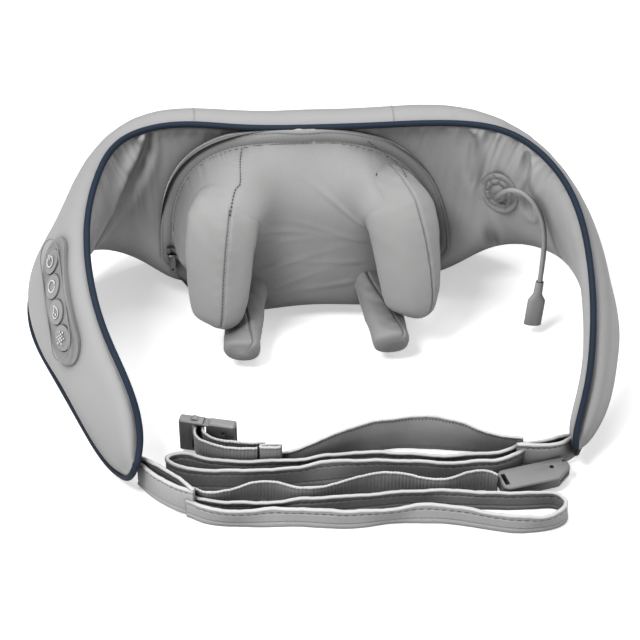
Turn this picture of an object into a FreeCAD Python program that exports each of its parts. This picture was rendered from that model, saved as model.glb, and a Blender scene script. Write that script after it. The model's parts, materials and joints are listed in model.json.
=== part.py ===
import FreeCAD, Part
import math
import os

# Shiatsu neck massager: a padded collar that lies on its flat base, arms curving forward,
# with two wobbling massage claws in front of a worm-driven gearbox in the rear pod.
# Millimetres. +Z is up, +Y points to the back of the collar, +X to the wearer's left.
# "Left" and "right" name the sides as seen from the front: left is -X, right is +X.
# The origin is the centre of the flat base strip, on the surface the massager stands on.

V = FreeCAD.Vector

# ---- driving dimensions ------------------------------------------------------------------

SKIN = 1.6                 # cover fabric with its lining
SEAM_SETBACK = 3.9         # covers stop this far from the middle of the piping
TIP_SETBACK = 2.5          # and this far at the arm tips
PIPING_R = 1.5
PIPING_LENGTHS = 6
FOAM_GAP = 4.2             # between a cover and the padding inside an arm
REAR_FOAM_GAP = 2.4        # between the outer cover and the rear pad
REAR_FOAM_THICKNESS = 1.6

BASE_LENGTH = 150.0
BASE_WIDTH = 36.0
BASE_THICKNESS = 3.0

WHEEL_X = 46.0             # output shafts stand this far left and right of the middle
SHAFT_Z = 82.0             # height of both output shafts
WORM_Y = 12.0              # plane of the worm and both worm wheels
GEAR_MODULE = 1.25
WHEEL_TEETH = 60
WHEEL_WIDTH = 8.0
WORM_PITCH_R = WHEEL_X - GEAR_MODULE * WHEEL_TEETH / 2.0
WORM_LENGTH = 38.0
GEAR_BACKLASH = 0.5        # taken off the thickness of each wheel tooth
WORM_SHAFT_R = 2.0
RUNNING_FIT = 0.05         # radial clearance of a shaft in its bush

HOUSING_WALL = 2.5
HOUSING_FRONT_Y = -4.0
HOUSING_SPLIT_Y = 13.0
HOUSING_REAR_Y = 26.0
CAVITY_FRONT_Y = 6.0
CAVITY_REAR_Y = 18.0

SHAFT_R = 5.0
BUSH_R = 7.0
MOTOR_R = 15.0
MOTOR_BOTTOM = 14.0
MOTOR_TOP = 56.0

CLAW_TILT = 4.0            # degrees between the journal and its shaft: the claws wobble by this
PIVOT = V(WHEEL_X, -24.0, SHAFT_Z)
JOURNAL_R = 10.0
JOURNAL_LENGTH = 12.0
BEARING_R = 14.0
CLAW_RING_R = 20.0

HOOD_CENTRE_X = -2.0
HOOD_CENTRE_Z = 50.0
HOOD_HALF_WIDTH = 121.0
HOOD_RISE = 108.0
HOOD_FOOT_HALF = 96.0
HOOD_FOOT_Z = 12.0

# The collar's shape, station by station from the left arm's tip, round the back, to the
# right arm's tip. Each row is the inner-upper seam point, the outer-lower seam point, how
# much of the full rear pod depth the section has, and its share of the arm thickness.
COLLAR = [
    (V(-146, -261, 33), V(-157, -255, 13), 0.0, 0.35),
    (V(-143, -250, 45), V(-166, -240, 9), 0.0, 0.75),
    (V(-148, -228, 72), V(-189, -197, 20), 0.0, 0.95),
    (V(-165, -191, 101), V(-210, -152, 33), 0.0, 1.0),
    (V(-175, -150, 124), V(-226, -112, 46), 0.0, 1.05),
    (V(-176, -105, 142), V(-226, -68, 56), 0.0, 1.1),
    (V(-167, -57, 154), V(-206, -18, 47), 0.12, 1.2),
    (V(-146, -16, 160), V(-168, 22, 28), 0.55, 1.2),
    (V(-110, -2, 162), V(-118, 38, 10), 1.0, 1.0),
    (V(-55, -8, 161), V(-60, 41, 8), 1.0, 1.0),
    (V(0, -12, 160), V(0, 42, 8), 1.0, 1.0),
    (V(58, -15, 161), V(60, 40, 8), 1.0, 1.0),
    (V(112, -18, 162), V(120, 34, 10), 1.0, 1.0),
    (V(160, -33, 161), V(176, 10, 24), 0.55, 1.2),
    (V(190, -70, 154), V(213, -34, 37), 0.12, 1.2),
    (V(204, -114, 142), V(227, -84, 44), 0.0, 1.1),
    (V(207, -160, 122), V(232, -132, 42), 0.0, 1.05),
    (V(203, -206, 95), V(226, -180, 30), 0.0, 1.0),
    (V(195, -238, 64), V(211, -218, 16), 0.0, 0.95),
    (V(187, -254, 40), V(194, -243, 10), 0.0, 0.75),
    (V(184, -262, 29), V(187, -257, 13), 0.0, 0.35),
]

# Section outlines as (share of the seam-to-seam length, offset from the chord).
ARM_OUTER = [(0.14, 8.0), (0.50, 11.0), (0.86, 8.0)]
ARM_INNER = [(0.14, -8.0), (0.50, -11.5), (0.86, -8.5)]
POD_OUTER = [(0.05, 26.0), (0.46, 33.0), (0.86, 15.0)]
POD_INNER = [(0.42, -32.0), (0.84, -57.0), (0.93, -32.0)]

# Middle line of the upper and lower finger of the right claw, from the hub outwards, with
# the half width and half thickness of the padded sleeve at each point.
UPPER_FINGER = [
    (V(51, -29, 112), 23.0, 12.0),
    (V(58.5, -42, 130), 27.0, 14.0),
    (V(68.5, -66, 124), 28.5, 14.5),
    (V(75, -88, 98), 27.5, 14.0),
    (V(77.5, -103, 70), 25.0, 13.0),
    (V(78, -112, 47), 20.5, 11.0),
    (V(78, -116, 36), 10.0, 6.0),
]
LOWER_FINGER = [
    (V(47.5, -40, 52), 15.0, 13.5),
    (V(51, -62, 38), 15.5, 13.5),
    (V(56, -84, 29), 15.5, 13.0),
    (V(59.5, -104, 23.5), 15.0, 12.5),
    (V(61.5, -118, 20.5), 11.0, 8.5),
]
SLEEVE_WALL = 2.2
HOOD_CLEARANCE = 12.0

# Keypad on the outside of the left arm: a curved stadium plate with four push buttons.
KEYPAD_CENTRE = V(-201.5, -145.2, 99.8)
KEYPAD_ALONG = V(0.101, -0.872, -0.480)
KEYPAD_ACROSS = V(0.548, -0.353, 0.758)
KEYPAD_LENGTH = 106.0
KEYPAD_WIDTH = 33.0
KEYPAD_BEND_R = 184.0      # the plate follows the curve of the arm
KEYPAD_RISE = 2.4
BUTTON_R = 9.8
BUTTON_GAP = 0.3
BUTTON_PITCH = 21.6
BUTTON_NAMES = ["power_button", "direction_button", "heat_button", "intensity_button"]

# Charging lead: a round grommet on the inside of the right arm, a short cord and a socket.
GROMMET_CENTRE = V(157.6, -40.7, 107.4)
GROMMET_FACING = V(-0.574, -0.818, 0.050)
GROMMET_R = 18.0
CORD_R = 2.1
CORD_PATH = [V(152.5, -50, 109), V(156, -57, 117.5), V(164, -62.5, 123.5), V(172.5, -68, 122.5),
             V(180.5, -75, 115.5), V(186.5, -80, 101), V(188, -84, 86), V(187.5, -87, 70)]
PLUG_TOP = V(186, -90, 51)
PLUG_END = V(181.5, -95, 11)
PLUG_WIDTH = 14.6
PLUG_DEPTH = 7.5

# Straps stand on edge on the floor. Each path is the strap's middle line seen from above.
BELT_THICKNESS = 3.0
WEBBING_THICKNESS = 1.8
LEFT_LOOP = [(-106, -291.5), (-82, -302), (-49, -304), (-23, -306.5), (3, -311), (45, -309.5),
             (79, -312), (103, -319), (130, -327), (150, -327.5), (164, -322), (169, -313),
             (164, -305), (150, -303), (119, -301), (82, -296), (57, -293), (32, -293.5),
             (-28, -296), (-55, -295.5), (-86, -292.5), (-105, -286)]
RIGHT_LOOP = [(143, -254.5), (123, -261.5), (100, -261.5), (79, -259.5), (51, -255), (15, -253),
              (-25, -254.5), (-52, -255.5), (-76, -253.5), (-99, -247), (-116, -242), (-125, -245.5),
              (-122, -252), (-100, -261), (-66, -264.5), (-27, -263.5), (14, -261), (50, -263),
              (78, -268), (110, -270.5), (128, -268.5), (143, -261)]
ELASTIC = [(-103, -282), (-85, -286), (-70, -281), (-54, -277.5), (-41, -281.5), (-28, -288),
           (-17, -288.5), (0, -284), (26, -277), (49, -278), (66, -284), (78, -288), (91, -285),
           (104, -280.5), (119, -284)]
WIDE_STRAP = [(-47, -243.2), (-24, -244.5), (8, -238), (31, -231.5), (54, -228.5), (85, -232),
              (113, -239), (134, -245), (147, -248.5)]
ADJUSTER = [(-56, -249.5), (-72, -248), (-88, -243), (-97, -236.5), (-102, -227.5), (-102.2, -222),
            (-101, -217.4), (-96.8, -214.7), (-94.6, -219.3), (-95.8, -224), (-93, -231), (-87.5, -236),
            (-79, -239.8), (-66, -242.5), (-49.5, -244.3)]
LEFT_ROOT = [(-139, -258), (-131, -266), (-121, -276), (-112, -284)]
RIGHT_ROOT = [(178, -254.5), (169, -257.5), (159, -259), (149, -259)]

SOCKET_CENTRE = V(-92, -220, 19)
SOCKET_TURN = -16.0
SOCKET_SIZE = (44.0, 9.0, 30.0)
PLUG_BUCKLE_CENTRE = V(151, -279.5, 10)
PLUG_BUCKLE_TURN = 12.6
PLUG_BUCKLE_SIZE = (57.0, 22.0, 10.0)

CELL_R = 9.15
CELL_LENGTH = 65.0
CELL_Y = 14.0
CELL_Z = 22.5

OUT = "parts"
os.makedirs(OUT, exist_ok=True)


# ---- small helpers -----------------------------------------------------------------------

def save(name, *shapes):
    """Write one node. Several solids make a group of separate pieces."""
    solids = []
    for shape in shapes:
        solids.extend(shape.Solids)
    body = solids[0] if len(solids) == 1 else Part.makeCompound(solids)
    body.exportStep(os.path.join(OUT, name + ".step"))


def mirrored(shape):
    """The same piece on the other side of the x = 0 plane."""
    return shape.mirror(V(0, 0, 0), V(1, 0, 0))


def rod(radius, start, end):
    """A round bar between two points."""
    axis = end - start
    return Part.makeCylinder(radius, axis.Length, start, axis)


def y_rod(radius, x, z, y0, y1):
    return rod(radius, V(x, y0, z), V(x, y1, z))


def z_rod(radius, x, y, z0, z1):
    return rod(radius, V(x, y, z0), V(x, y, z1))


def block(x0, x1, y0, y1, z0, z1):
    return Part.makeBox(x1 - x0, y1 - y0, z1 - z0, V(x0, y0, z0))


def fuse(*shapes):
    return shapes[0].multiFuse(list(shapes[1:])).removeSplitter()


def curve(points, closed=False):
    spline = Part.BSplineCurve()
    spline.interpolate(Points=points, PeriodicFlag=closed)
    return spline.toShape()


def loft(wires, straight=False):
    return Part.makeLoft(wires, True, straight)


def tube(edge, radius):
    """Round cord along an edge."""
    start = edge.valueAt(edge.FirstParameter)
    ring = Part.Wire([Part.makeCircle(radius, start, edge.tangentAt(edge.FirstParameter))])
    return Part.Wire([edge]).makePipeShell([ring], True, False)


def turned(shape, degrees, centre, axis):
    copy = shape.copy()
    copy.rotate(centre, axis, degrees)
    return copy


# ---- collar section geometry -------------------------------------------------------------

class Station:
    """One cross-section of the collar, with its own chord and outward direction."""

    def __init__(self, index):
        self.top, self.bottom, self.pod, self.fullness = COLLAR[index]
        before = COLLAR[max(index - 1, 0)]
        after = COLLAR[min(index + 1, len(COLLAR) - 1)]
        along = (after[0] + after[1]) - (before[0] + before[1])
        chord = self.bottom - self.top
        self.length = chord.Length
        self.down = chord.normalize()
        self.out = along.cross(self.down).normalize()

    def point(self, along, offset):
        return self.top + self.down * along + self.out * offset

    def side(self, arm, pod, inset):
        """Points of one side of the section, moved towards the chord by inset."""
        points = []
        for (arm_share, arm_offset), (pod_share, pod_offset) in zip(arm, pod):
            share = arm_share + (pod_share - arm_share) * self.pod
            arm_part = arm_offset * self.fullness
            offset = arm_part + (pod_offset - arm_part) * self.pod
            offset -= math.copysign(inset, offset)
            centred = share - 0.5
            along = self.length * (0.5 + centred) - math.copysign(inset, centred) * abs(centred)
            points.append(self.point(along, offset))
        return points


STATIONS = [Station(i) for i in range(len(COLLAR))]
ARM_STATIONS_LEFT = STATIONS[2:7]
ARM_STATIONS_RIGHT = STATIONS[14:19]
POD_STATIONS = STATIONS[9:12]


def skin_section(station, arm, pod, side):
    """Closed outline of a cover: its outer curve and a second curve one skin inside."""
    setback = max(TIP_SETBACK, min(SEAM_SETBACK, 0.11 * station.length))
    end = station.length - setback
    rim = 1.5 * side
    lip = 0.4 * side
    outside = [station.point(setback, rim)]
    outside += station.side(arm, pod, 0.0)
    outside += [station.point(end, rim)]
    inside = [station.point(setback, lip)]
    inside += station.side(arm, pod, SKIN)
    inside += [station.point(end, lip)]
    edges = [curve(outside),
             Part.makeLine(outside[-1], inside[-1]),
             curve(inside),
             Part.makeLine(inside[0], outside[0])]
    return Part.Wire(Part.__sortEdges__(edges))


def foam_section(station):
    """Closed outline of the padding inside an arm."""
    inset = SKIN + FOAM_GAP
    outside = station.side(ARM_OUTER, POD_OUTER, inset)
    inside = station.side(ARM_INNER, POD_INNER, inset)
    top = [station.point(1.6 * inset, 0.0)]
    foot = [station.point(station.length - 1.6 * inset, 0.0)]
    return Part.Wire([curve(top + outside + foot + inside[::-1], closed=True)])


def rear_foam_section(station, thickness):
    """Padding that lines the back of the pod, behind the gearbox."""
    near = station.side(ARM_OUTER, POD_OUTER, SKIN + REAR_FOAM_GAP)
    far = station.side(ARM_OUTER, POD_OUTER, SKIN + REAR_FOAM_GAP + thickness)
    edges = [curve(near),
             Part.makeLine(near[-1], far[-1]),
             curve(far),
             Part.makeLine(far[0], near[0])]
    return Part.Wire(Part.__sortEdges__(edges))


# ---- hood outline ------------------------------------------------------------------------

def hood_prism(grow, y0, y1):
    """D-shaped prism along Y: the outline of the massage hood, grown all round."""
    half = HOOD_HALF_WIDTH + grow
    rise = HOOD_RISE + grow
    foot = HOOD_FOOT_HALF + grow
    left = V(HOOD_CENTRE_X - half, y0, HOOD_CENTRE_Z)
    right = V(HOOD_CENTRE_X + half, y0, HOOD_CENTRE_Z)
    points = [left]
    for degrees in (157.5, 135.0, 112.5, 90.0, 67.5, 45.0, 22.5):
        a = math.radians(degrees)
        points.append(V(HOOD_CENTRE_X + half * math.cos(a), y0, HOOD_CENTRE_Z + rise * math.sin(a)))
    points.append(right)
    foot_z = HOOD_FOOT_Z - grow
    foot_right = V(HOOD_CENTRE_X + foot, y0, foot_z)
    foot_left = V(HOOD_CENTRE_X - foot, y0, foot_z)
    edges = [curve(points),
             Part.makeLine(right, foot_right),
             Part.makeLine(foot_right, foot_left),
             Part.makeLine(foot_left, left)]
    face = Part.Face(Part.Wire(edges))
    return face.extrude(V(0, y1 - y0, 0))


# ---- covers, padding and piping ----------------------------------------------------------

def make_covers():
    outer = loft([skin_section(s, ARM_OUTER, POD_OUTER, 1.0) for s in STATIONS])
    inner = loft([skin_section(s, ARM_INNER, POD_INNER, -1.0) for s in STATIONS])
    inner = inner.cut(hood_prism(0.0, -60.0, 10.0))
    return outer, inner


def make_piping():
    """Cord along the upper seam, round each arm tip and back along the lower seam, in lengths."""
    upper = [s.top for s in STATIONS]
    lower = [s.bottom for s in STATIONS]
    right_tip = V(184.5, -264.5, 20.5)
    left_tip = V(-151.0, -264.0, 22.0)
    spline = Part.BSplineCurve()
    spline.interpolate(Points=upper + [right_tip] + lower[::-1] + [left_tip], PeriodicFlag=True)
    first = spline.FirstParameter
    step = (spline.LastParameter - first) / PIPING_LENGTHS
    ends = [first + step * i for i in range(PIPING_LENGTHS + 1)]
    return [tube(spline.toShape(start, end), PIPING_R) for start, end in zip(ends, ends[1:])]


def make_arm_foam(stations):
    return loft([foam_section(s) for s in stations])


def make_rear_foam():
    return loft([rear_foam_section(s, REAR_FOAM_THICKNESS) for s in POD_STATIONS])


# ---- worm drive --------------------------------------------------------------------------

def wheel_outline(y, twist):
    """Sixty straight-sided teeth, with a gap facing the worm."""
    pitch_r = GEAR_MODULE * WHEEL_TEETH / 2.0
    root_r = pitch_r - 1.2 * GEAR_MODULE
    tip_r = pitch_r + 0.95 * GEAR_MODULE
    half_pitch = math.pi * GEAR_MODULE / 2.0
    root_half = (half_pitch * 1.40 - GEAR_BACKLASH) / 2.0 / root_r
    tip_half = (half_pitch * 0.62 - GEAR_BACKLASH) / 2.0 / tip_r
    step = 2.0 * math.pi / WHEEL_TEETH
    points = []
    for tooth in range(WHEEL_TEETH):
        middle = math.pi + (tooth + 0.5) * step + twist
        corners = ((root_r, -root_half), (tip_r, -tip_half), (tip_r, tip_half), (root_r, root_half))
        for radius, angle in corners:
            a = middle + angle
            points.append(V(radius * math.cos(a), y, radius * math.sin(a)))
    return Part.makePolygon(points + [points[0]])


def make_wheel():
    """Right worm wheel, its hub included, bored for the output shaft."""
    lead = GEAR_MODULE * math.pi
    half_width = WHEEL_WIDTH / 2.0
    rise = lead * math.asin(half_width / WORM_PITCH_R) / (2.0 * math.pi)
    twist = rise / (GEAR_MODULE * WHEEL_TEETH / 2.0)
    rear = wheel_outline(half_width, -twist)
    front = wheel_outline(-half_width, twist)
    rim = Part.makeLoft([front, rear], True, True)
    rim.translate(V(WHEEL_X, WORM_Y, SHAFT_Z))
    hub = y_rod(9.0, WHEEL_X, SHAFT_Z, 4.0, 20.0)
    bore = y_rod(SHAFT_R, WHEEL_X, SHAFT_Z, 0.0, 24.0)
    return rim.fuse(hub).cut(bore)


def left_from_right_wheel(wheel):
    """The worm is met half a pitch later on its other side."""
    other = turned(wheel, 180.0, V(0, WORM_Y, SHAFT_Z), V(0, 0, 1))
    half_tooth = 180.0 / WHEEL_TEETH
    return turned(other, half_tooth, V(-WHEEL_X, WORM_Y, SHAFT_Z), V(0, 1, 0))


def make_worm():
    """Shaft with a single-start right-hand thread, crest facing +X at the wheel height."""
    lead = GEAR_MODULE * math.pi
    root_r = WORM_PITCH_R - 1.2 * GEAR_MODULE
    tip_r = WORM_PITCH_R + 0.9 * GEAR_MODULE
    turns = int(WORM_LENGTH / lead)
    length = turns * lead
    foot = SHAFT_Z - length / 2.0
    if turns % 2:
        foot -= lead / 2.0
    helix = Part.makeHelix(lead, length, root_r)
    half_root = 0.29 * lead
    half_tip = 0.10 * lead
    inside = root_r - 0.4
    outline = [V(inside, 0, -half_root), V(tip_r, 0, -half_tip), V(tip_r, 0, half_tip),
               V(inside, 0, half_root), V(inside, 0, -half_root)]
    thread = Part.Wire(helix.Edges).makePipeShell([Part.makePolygon(outline)], True, True)
    thread.translate(V(0, WORM_Y, foot))
    core = z_rod(root_r, 0, WORM_Y, foot - 2.0, foot + length + 2.0)
    shaft = z_rod(WORM_SHAFT_R, 0, WORM_Y, MOTOR_BOTTOM + 2.0, SHAFT_Z + 27.0)
    return core.fuse(thread).fuse(shaft)


def make_motor():
    can = z_rod(MOTOR_R, 0, WORM_Y, MOTOR_BOTTOM, MOTOR_TOP - 4.0)
    hollow = z_rod(MOTOR_R - 1.4, 0, WORM_Y, MOTOR_BOTTOM + 3.0, MOTOR_TOP)
    spindle = z_rod(WORM_SHAFT_R + RUNNING_FIT, 0, WORM_Y, MOTOR_BOTTOM + 1.5, MOTOR_TOP + 1.0)
    can = can.cut(hollow).cut(spindle)
    cap = z_rod(MOTOR_R, 0, WORM_Y, MOTOR_TOP - 4.0, MOTOR_TOP - 1.0)
    boss = z_rod(5.0, 0, WORM_Y, MOTOR_TOP - 1.0, MOTOR_TOP)
    cap = cap.fuse(boss).cut(spindle)
    magnet_ring = z_rod(MOTOR_R - 1.6, 0, WORM_Y, MOTOR_BOTTOM + 8.0, MOTOR_TOP - 12.0)
    magnet_ring = magnet_ring.cut(z_rod(MOTOR_R - 3.8, 0, WORM_Y, MOTOR_BOTTOM, MOTOR_TOP))
    magnet_gap = block(-2.0, 2.0, WORM_Y - MOTOR_R, WORM_Y + MOTOR_R, MOTOR_BOTTOM, MOTOR_TOP)
    rotor = z_rod(MOTOR_R - 4.6, 0, WORM_Y, MOTOR_BOTTOM + 8.0, MOTOR_TOP - 12.0)
    rotor = rotor.cut(z_rod(WORM_SHAFT_R, 0, WORM_Y, MOTOR_BOTTOM, MOTOR_TOP))
    return can, cap, magnet_ring.cut(magnet_gap), rotor


SCREW_SPOTS = [(0.0, 117.0), (-91.5, SHAFT_Z), (91.5, SHAFT_Z), (-23.0, 44.0), (23.0, 44.0)]


def make_housing():
    """Two half shells split across the wheels, with pockets for wheels, worm and motor."""
    outer_r = 40.0 + HOUSING_WALL
    body = block(-WHEEL_X, WHEEL_X, HOUSING_FRONT_Y, HOUSING_REAR_Y, SHAFT_Z - outer_r, SHAFT_Z + outer_r)
    body = body.fuse(block(-18.5, 18.5, HOUSING_FRONT_Y - 2.0, HOUSING_REAR_Y + 2.0, 12.0, 60.0))
    cavity = z_rod(11.0, 0, WORM_Y, 56.0, 105.0)
    cavity = cavity.fuse(z_rod(MOTOR_R + 0.2, 0, WORM_Y, MOTOR_BOTTOM - 1.0, MOTOR_TOP + 0.2))
    cavity = cavity.fuse(z_rod(4.0, 0, WORM_Y, 104.0, SHAFT_Z + 27.5))
    for x in (-WHEEL_X, WHEEL_X):
        body = body.fuse(y_rod(outer_r, x, SHAFT_Z, HOUSING_FRONT_Y, HOUSING_REAR_Y))
        cavity = cavity.fuse(y_rod(40.0, x, SHAFT_Z, CAVITY_FRONT_Y, CAVITY_REAR_Y))
        cavity = cavity.fuse(y_rod(10.0, x, SHAFT_Z, 3.7, 20.3))
        cavity = cavity.fuse(y_rod(BUSH_R, x, SHAFT_Z, HOUSING_FRONT_Y - 3.0, HOUSING_REAR_Y - 1.0))
    for x, z in SCREW_SPOTS:
        body = body.fuse(y_rod(4.5, x, z, HOUSING_FRONT_Y, HOUSING_REAR_Y))
        cavity = cavity.fuse(y_rod(1.6, x, z, HOUSING_FRONT_Y - 1.0, HOUSING_REAR_Y - 3.0))
    body = body.cut(cavity)
    front_side = block(-150, 150, -20.0, HOUSING_SPLIT_Y, 0, 160)
    rear_side = block(-150, 150, HOUSING_SPLIT_Y, 50.0, 0, 160)
    return body.common(front_side), body.common(rear_side)


def make_housing_screws():
    screws = []
    for x, z in SCREW_SPOTS:
        shank = y_rod(1.5, x, z, HOUSING_FRONT_Y, HOUSING_REAR_Y - 4.0)
        head = y_rod(2.8, x, z, HOUSING_FRONT_Y - 2.2, HOUSING_FRONT_Y)
        recess = y_rod(1.2, x, z, HOUSING_FRONT_Y - 2.3, HOUSING_FRONT_Y - 1.0)
        screws.append(head.fuse(shank).cut(recess))
    return screws


def make_shaft():
    """Right output shaft; the tilted hub sits on its front end."""
    return y_rod(SHAFT_R, WHEEL_X, SHAFT_Z, -21.0, HOUSING_REAR_Y - 1.5)


def make_bushes(x):
    rings = []
    for y0, y1 in ((HOUSING_FRONT_Y, 3.6), (20.4, HOUSING_REAR_Y - 1.1)):
        ring = y_rod(BUSH_R, x, SHAFT_Z, y0, y1)
        rings.append(ring.cut(y_rod(SHAFT_R + RUNNING_FIT, x, SHAFT_Z, y0 - 1, y1 + 1)))
    return rings


# ---- claws -------------------------------------------------------------------------------

def tilt(shape):
    """From a journal along Y to the rest position, front end down."""
    return turned(shape, CLAW_TILT, PIVOT, V(1, 0, 0))


def journal_rod(radius, back, front):
    """Rod on the tilted axis; distances are measured forwards from the pivot."""
    return tilt(y_rod(radius, PIVOT.x, PIVOT.z, PIVOT.y - front, PIVOT.y - back))


def make_hub():
    half = JOURNAL_LENGTH / 2.0
    hub = journal_rod(JOURNAL_R, -half - 0.5, half + 0.5)
    flange = journal_rod(JOURNAL_R + 2.5, -half - 3.0, -half - 0.5)
    hub = hub.fuse(flange).cut(y_rod(SHAFT_R, PIVOT.x, PIVOT.z, -21.0, 0.0))
    return hub.cut(journal_rod(1.5, 2.0, half + 2.0))


def make_hub_cap():
    half = JOURNAL_LENGTH / 2.0
    cap = journal_rod(JOURNAL_R + 2.5, half + 0.5, half + 2.5)
    return cap.cut(journal_rod(1.5, 0.0, half + 4.0))


def make_hub_screw():
    half = JOURNAL_LENGTH / 2.0
    screw = journal_rod(3.0, half + 2.5, half + 4.5).fuse(journal_rod(1.5, 2.5, half + 2.5))
    return screw.cut(journal_rod(1.2, half + 3.3, half + 5.0))


def make_claw_bearing():
    half = JOURNAL_LENGTH / 2.0
    ring = journal_rod(BEARING_R, -half, half)
    return ring.cut(journal_rod(JOURNAL_R + RUNNING_FIT, -half - 1, half + 1))


def finger_direction(rows, index):
    before = rows[max(index - 1, 0)][0]
    after = rows[min(index + 1, len(rows) - 1)][0]
    return (after - before).normalize()


def finger_section(rows, index, inset):
    """Ellipse square to the finger's middle line, its long axis sideways."""
    centre, half_width, half_depth = rows[index]
    along = finger_direction(rows, index)
    depth = along.cross(V(1, 0, 0)).normalize()
    side = depth.cross(along).normalize()
    a = max(half_width - inset, 2.0)
    b = max(half_depth - inset, 1.5)
    if a > b:
        ellipse = Part.Ellipse(centre + side * a, centre + depth * b, centre)
    else:
        ellipse = Part.Ellipse(centre + depth * b, centre + side * a, centre)
    return Part.Wire([ellipse.toShape()])


def finger_loft(rows, inset, first=0, last=None):
    last = len(rows) if last is None else last
    return loft([finger_section(rows, i, inset) for i in range(first, last)])


def make_sleeve(rows):
    """Stretch-fabric sleeve, open towards the hub and closed at the tip."""
    return finger_loft(rows, 0.0).cut(finger_loft(rows, SLEEVE_WALL, 0, len(rows) - 1))


def finger_root(rows, spare):
    """Stub that carries a finger's core from the ring to its first section."""
    rise = 1.0 if rows is UPPER_FINGER else -1.0
    start = PIVOT + V(0.5, -2.0, 14.0 * rise)
    end = rows[0][0] + (rows[1][0] - rows[0][0]) * 0.2
    return rod(7.3 + spare, start, end)


def make_pad(rows, core_inset):
    """Foam tube between the finger's stiff core and its sleeve."""
    last = len(rows) - 1
    pad = finger_loft(rows, SLEEVE_WALL + 0.3, 0, last)
    pad = pad.cut(finger_loft(rows, core_inset - 0.4, 0, last))
    return pad.cut(finger_root(rows, 0.4))


def make_claw_frame(upper_inset, lower_inset):
    """Ring round the bearing and the two stiff finger cores."""
    half = JOURNAL_LENGTH / 2.0
    ring = journal_rod(CLAW_RING_R, -half, half)
    core = finger_loft(UPPER_FINGER, upper_inset, 0, len(UPPER_FINGER) - 1)
    low = finger_loft(LOWER_FINGER, lower_inset, 0, len(LOWER_FINGER) - 1)
    roots = [finger_root(UPPER_FINGER, 0.0), finger_root(LOWER_FINGER, 0.0)]
    frame = ring.fuse(roots[0]).fuse(roots[1]).fuse(core).fuse(low)
    return frame.cut(journal_rod(BEARING_R, -half - 12, half + 30))


# ---- hood --------------------------------------------------------------------------------

HOOD_LEAN = [(HOOD_FOOT_Z - 2.0, -31.0), (60.0, -27.0), (110.0, -21.0), (165.0, -13.5)]


def hood_sheet(forward, thickness):
    """Leaning sheet across the front of the pod, its face forward of the hood's own."""
    sections = []
    for z, y in HOOD_LEAN:
        front = y - forward
        back = front + thickness
        corners = [V(-135, front, z), V(135, front, z), V(135, back, z), V(-135, back, z)]
        sections.append(Part.makePolygon(corners + [corners[0]]))
    return loft(sections)


def clear_of_claws(sheet):
    """Cut away the room that both claws need for their wobble."""
    for rows in (UPPER_FINGER, LOWER_FINGER):
        room = finger_loft(rows, -HOOD_CLEARANCE, 0, 3)
        sheet = sheet.cut(room).cut(mirrored(room))
        root, half_width = rows[0][0], rows[0][1]
        root_room = y_rod(half_width + 7.0, root.x, root.z, -60, 10)
        sheet = sheet.cut(root_room).cut(mirrored(root_room))
    hub_room = y_rod(CLAW_RING_R + 8.0, PIVOT.x, PIVOT.z, -60, 10)
    return sheet.cut(hub_room).cut(mirrored(hub_room))


def make_hood():
    return clear_of_claws(hood_sheet(0.0, 2.0).common(hood_prism(-1.0, -60.0, 10.0)))


def make_hood_zip():
    """Zip tape round the hood, on its front."""
    ring = hood_prism(-1.0, -60.0, 10.0).cut(hood_prism(-11.0, -70.0, 20.0))
    return clear_of_claws(hood_sheet(1.7, 1.3).common(ring))


ZIP_END = V(-113.0, -33.5, 52.0)
ZIP_PIN_R = 0.6


def zip_hinge(radius, half_length):
    """Rod on the hinge line between the zip's slider and its pull."""
    x, y, z = ZIP_END
    hinge_y = y - 1.4
    hinge_z = z + 3.0
    return rod(radius, V(x - half_length, hinge_y, hinge_z), V(x + half_length, hinge_y, hinge_z))


def make_zip_slider():
    """Slider body with two ears and the hinge pin between them."""
    x, y, z = ZIP_END
    body = block(x - 4, x + 4, y, y + 3.0, z - 1, z + 10)
    body = body.cut(block(x - 1.2, x + 1.2, y - 1, y + 1.2, z - 2, z + 11))
    for ear_x in (x - 4.0, x + 3.0):
        body = body.fuse(block(ear_x, ear_x + 1.0, y - 2.4, y + 0.5, z + 1.5, z + 4.5))
    return fuse(body, zip_hinge(ZIP_PIN_R, 4.0))


def make_zip_pull():
    """Tab with an eyelet round the slider's pin; it swings forward."""
    x, y, z = ZIP_END
    tab = block(x - 2.5, x + 2.5, y - 2.2, y - 0.6, z - 14, z + 3)
    tab = tab.fuse(zip_hinge(1.3, 2.5)).cut(zip_hinge(ZIP_PIN_R + RUNNING_FIT, 5.0))
    return tab.cut(y_rod(1.2, x, z - 10, y - 4, y + 1))


# ---- keypad ------------------------------------------------------------------------------

def on_keypad(shape):
    """Move a shape drawn flat (x along, y across, z outwards) to its place on the left arm."""
    outwards = KEYPAD_ALONG.cross(KEYPAD_ACROSS)
    turn = FreeCAD.Rotation(KEYPAD_ALONG, KEYPAD_ACROSS, outwards, "XYZ")
    moved = shape.copy()
    moved.Placement = FreeCAD.Placement(KEYPAD_CENTRE, turn)
    return moved


def stadium(length, width, z0, z1):
    radius = width / 2.0
    half = length / 2.0 - radius
    middle = block(-half, half, -radius, radius, z0, z1)
    ends = [z_rod(radius, x, 0, z0, z1) for x in (-half, half)]
    return fuse(middle, *ends)


def bent_layer(low, high):
    """Layer of the bent plate, its depth measured from the arm's surface."""
    centre = -KEYPAD_BEND_R
    outer = y_rod(KEYPAD_BEND_R + high, 0, centre, -40, 40)
    return outer.cut(y_rod(KEYPAD_BEND_R + low, 0, centre, -41, 41))


def button_places():
    return [(i - 1.5) * BUTTON_PITCH for i in range(4)]


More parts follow.
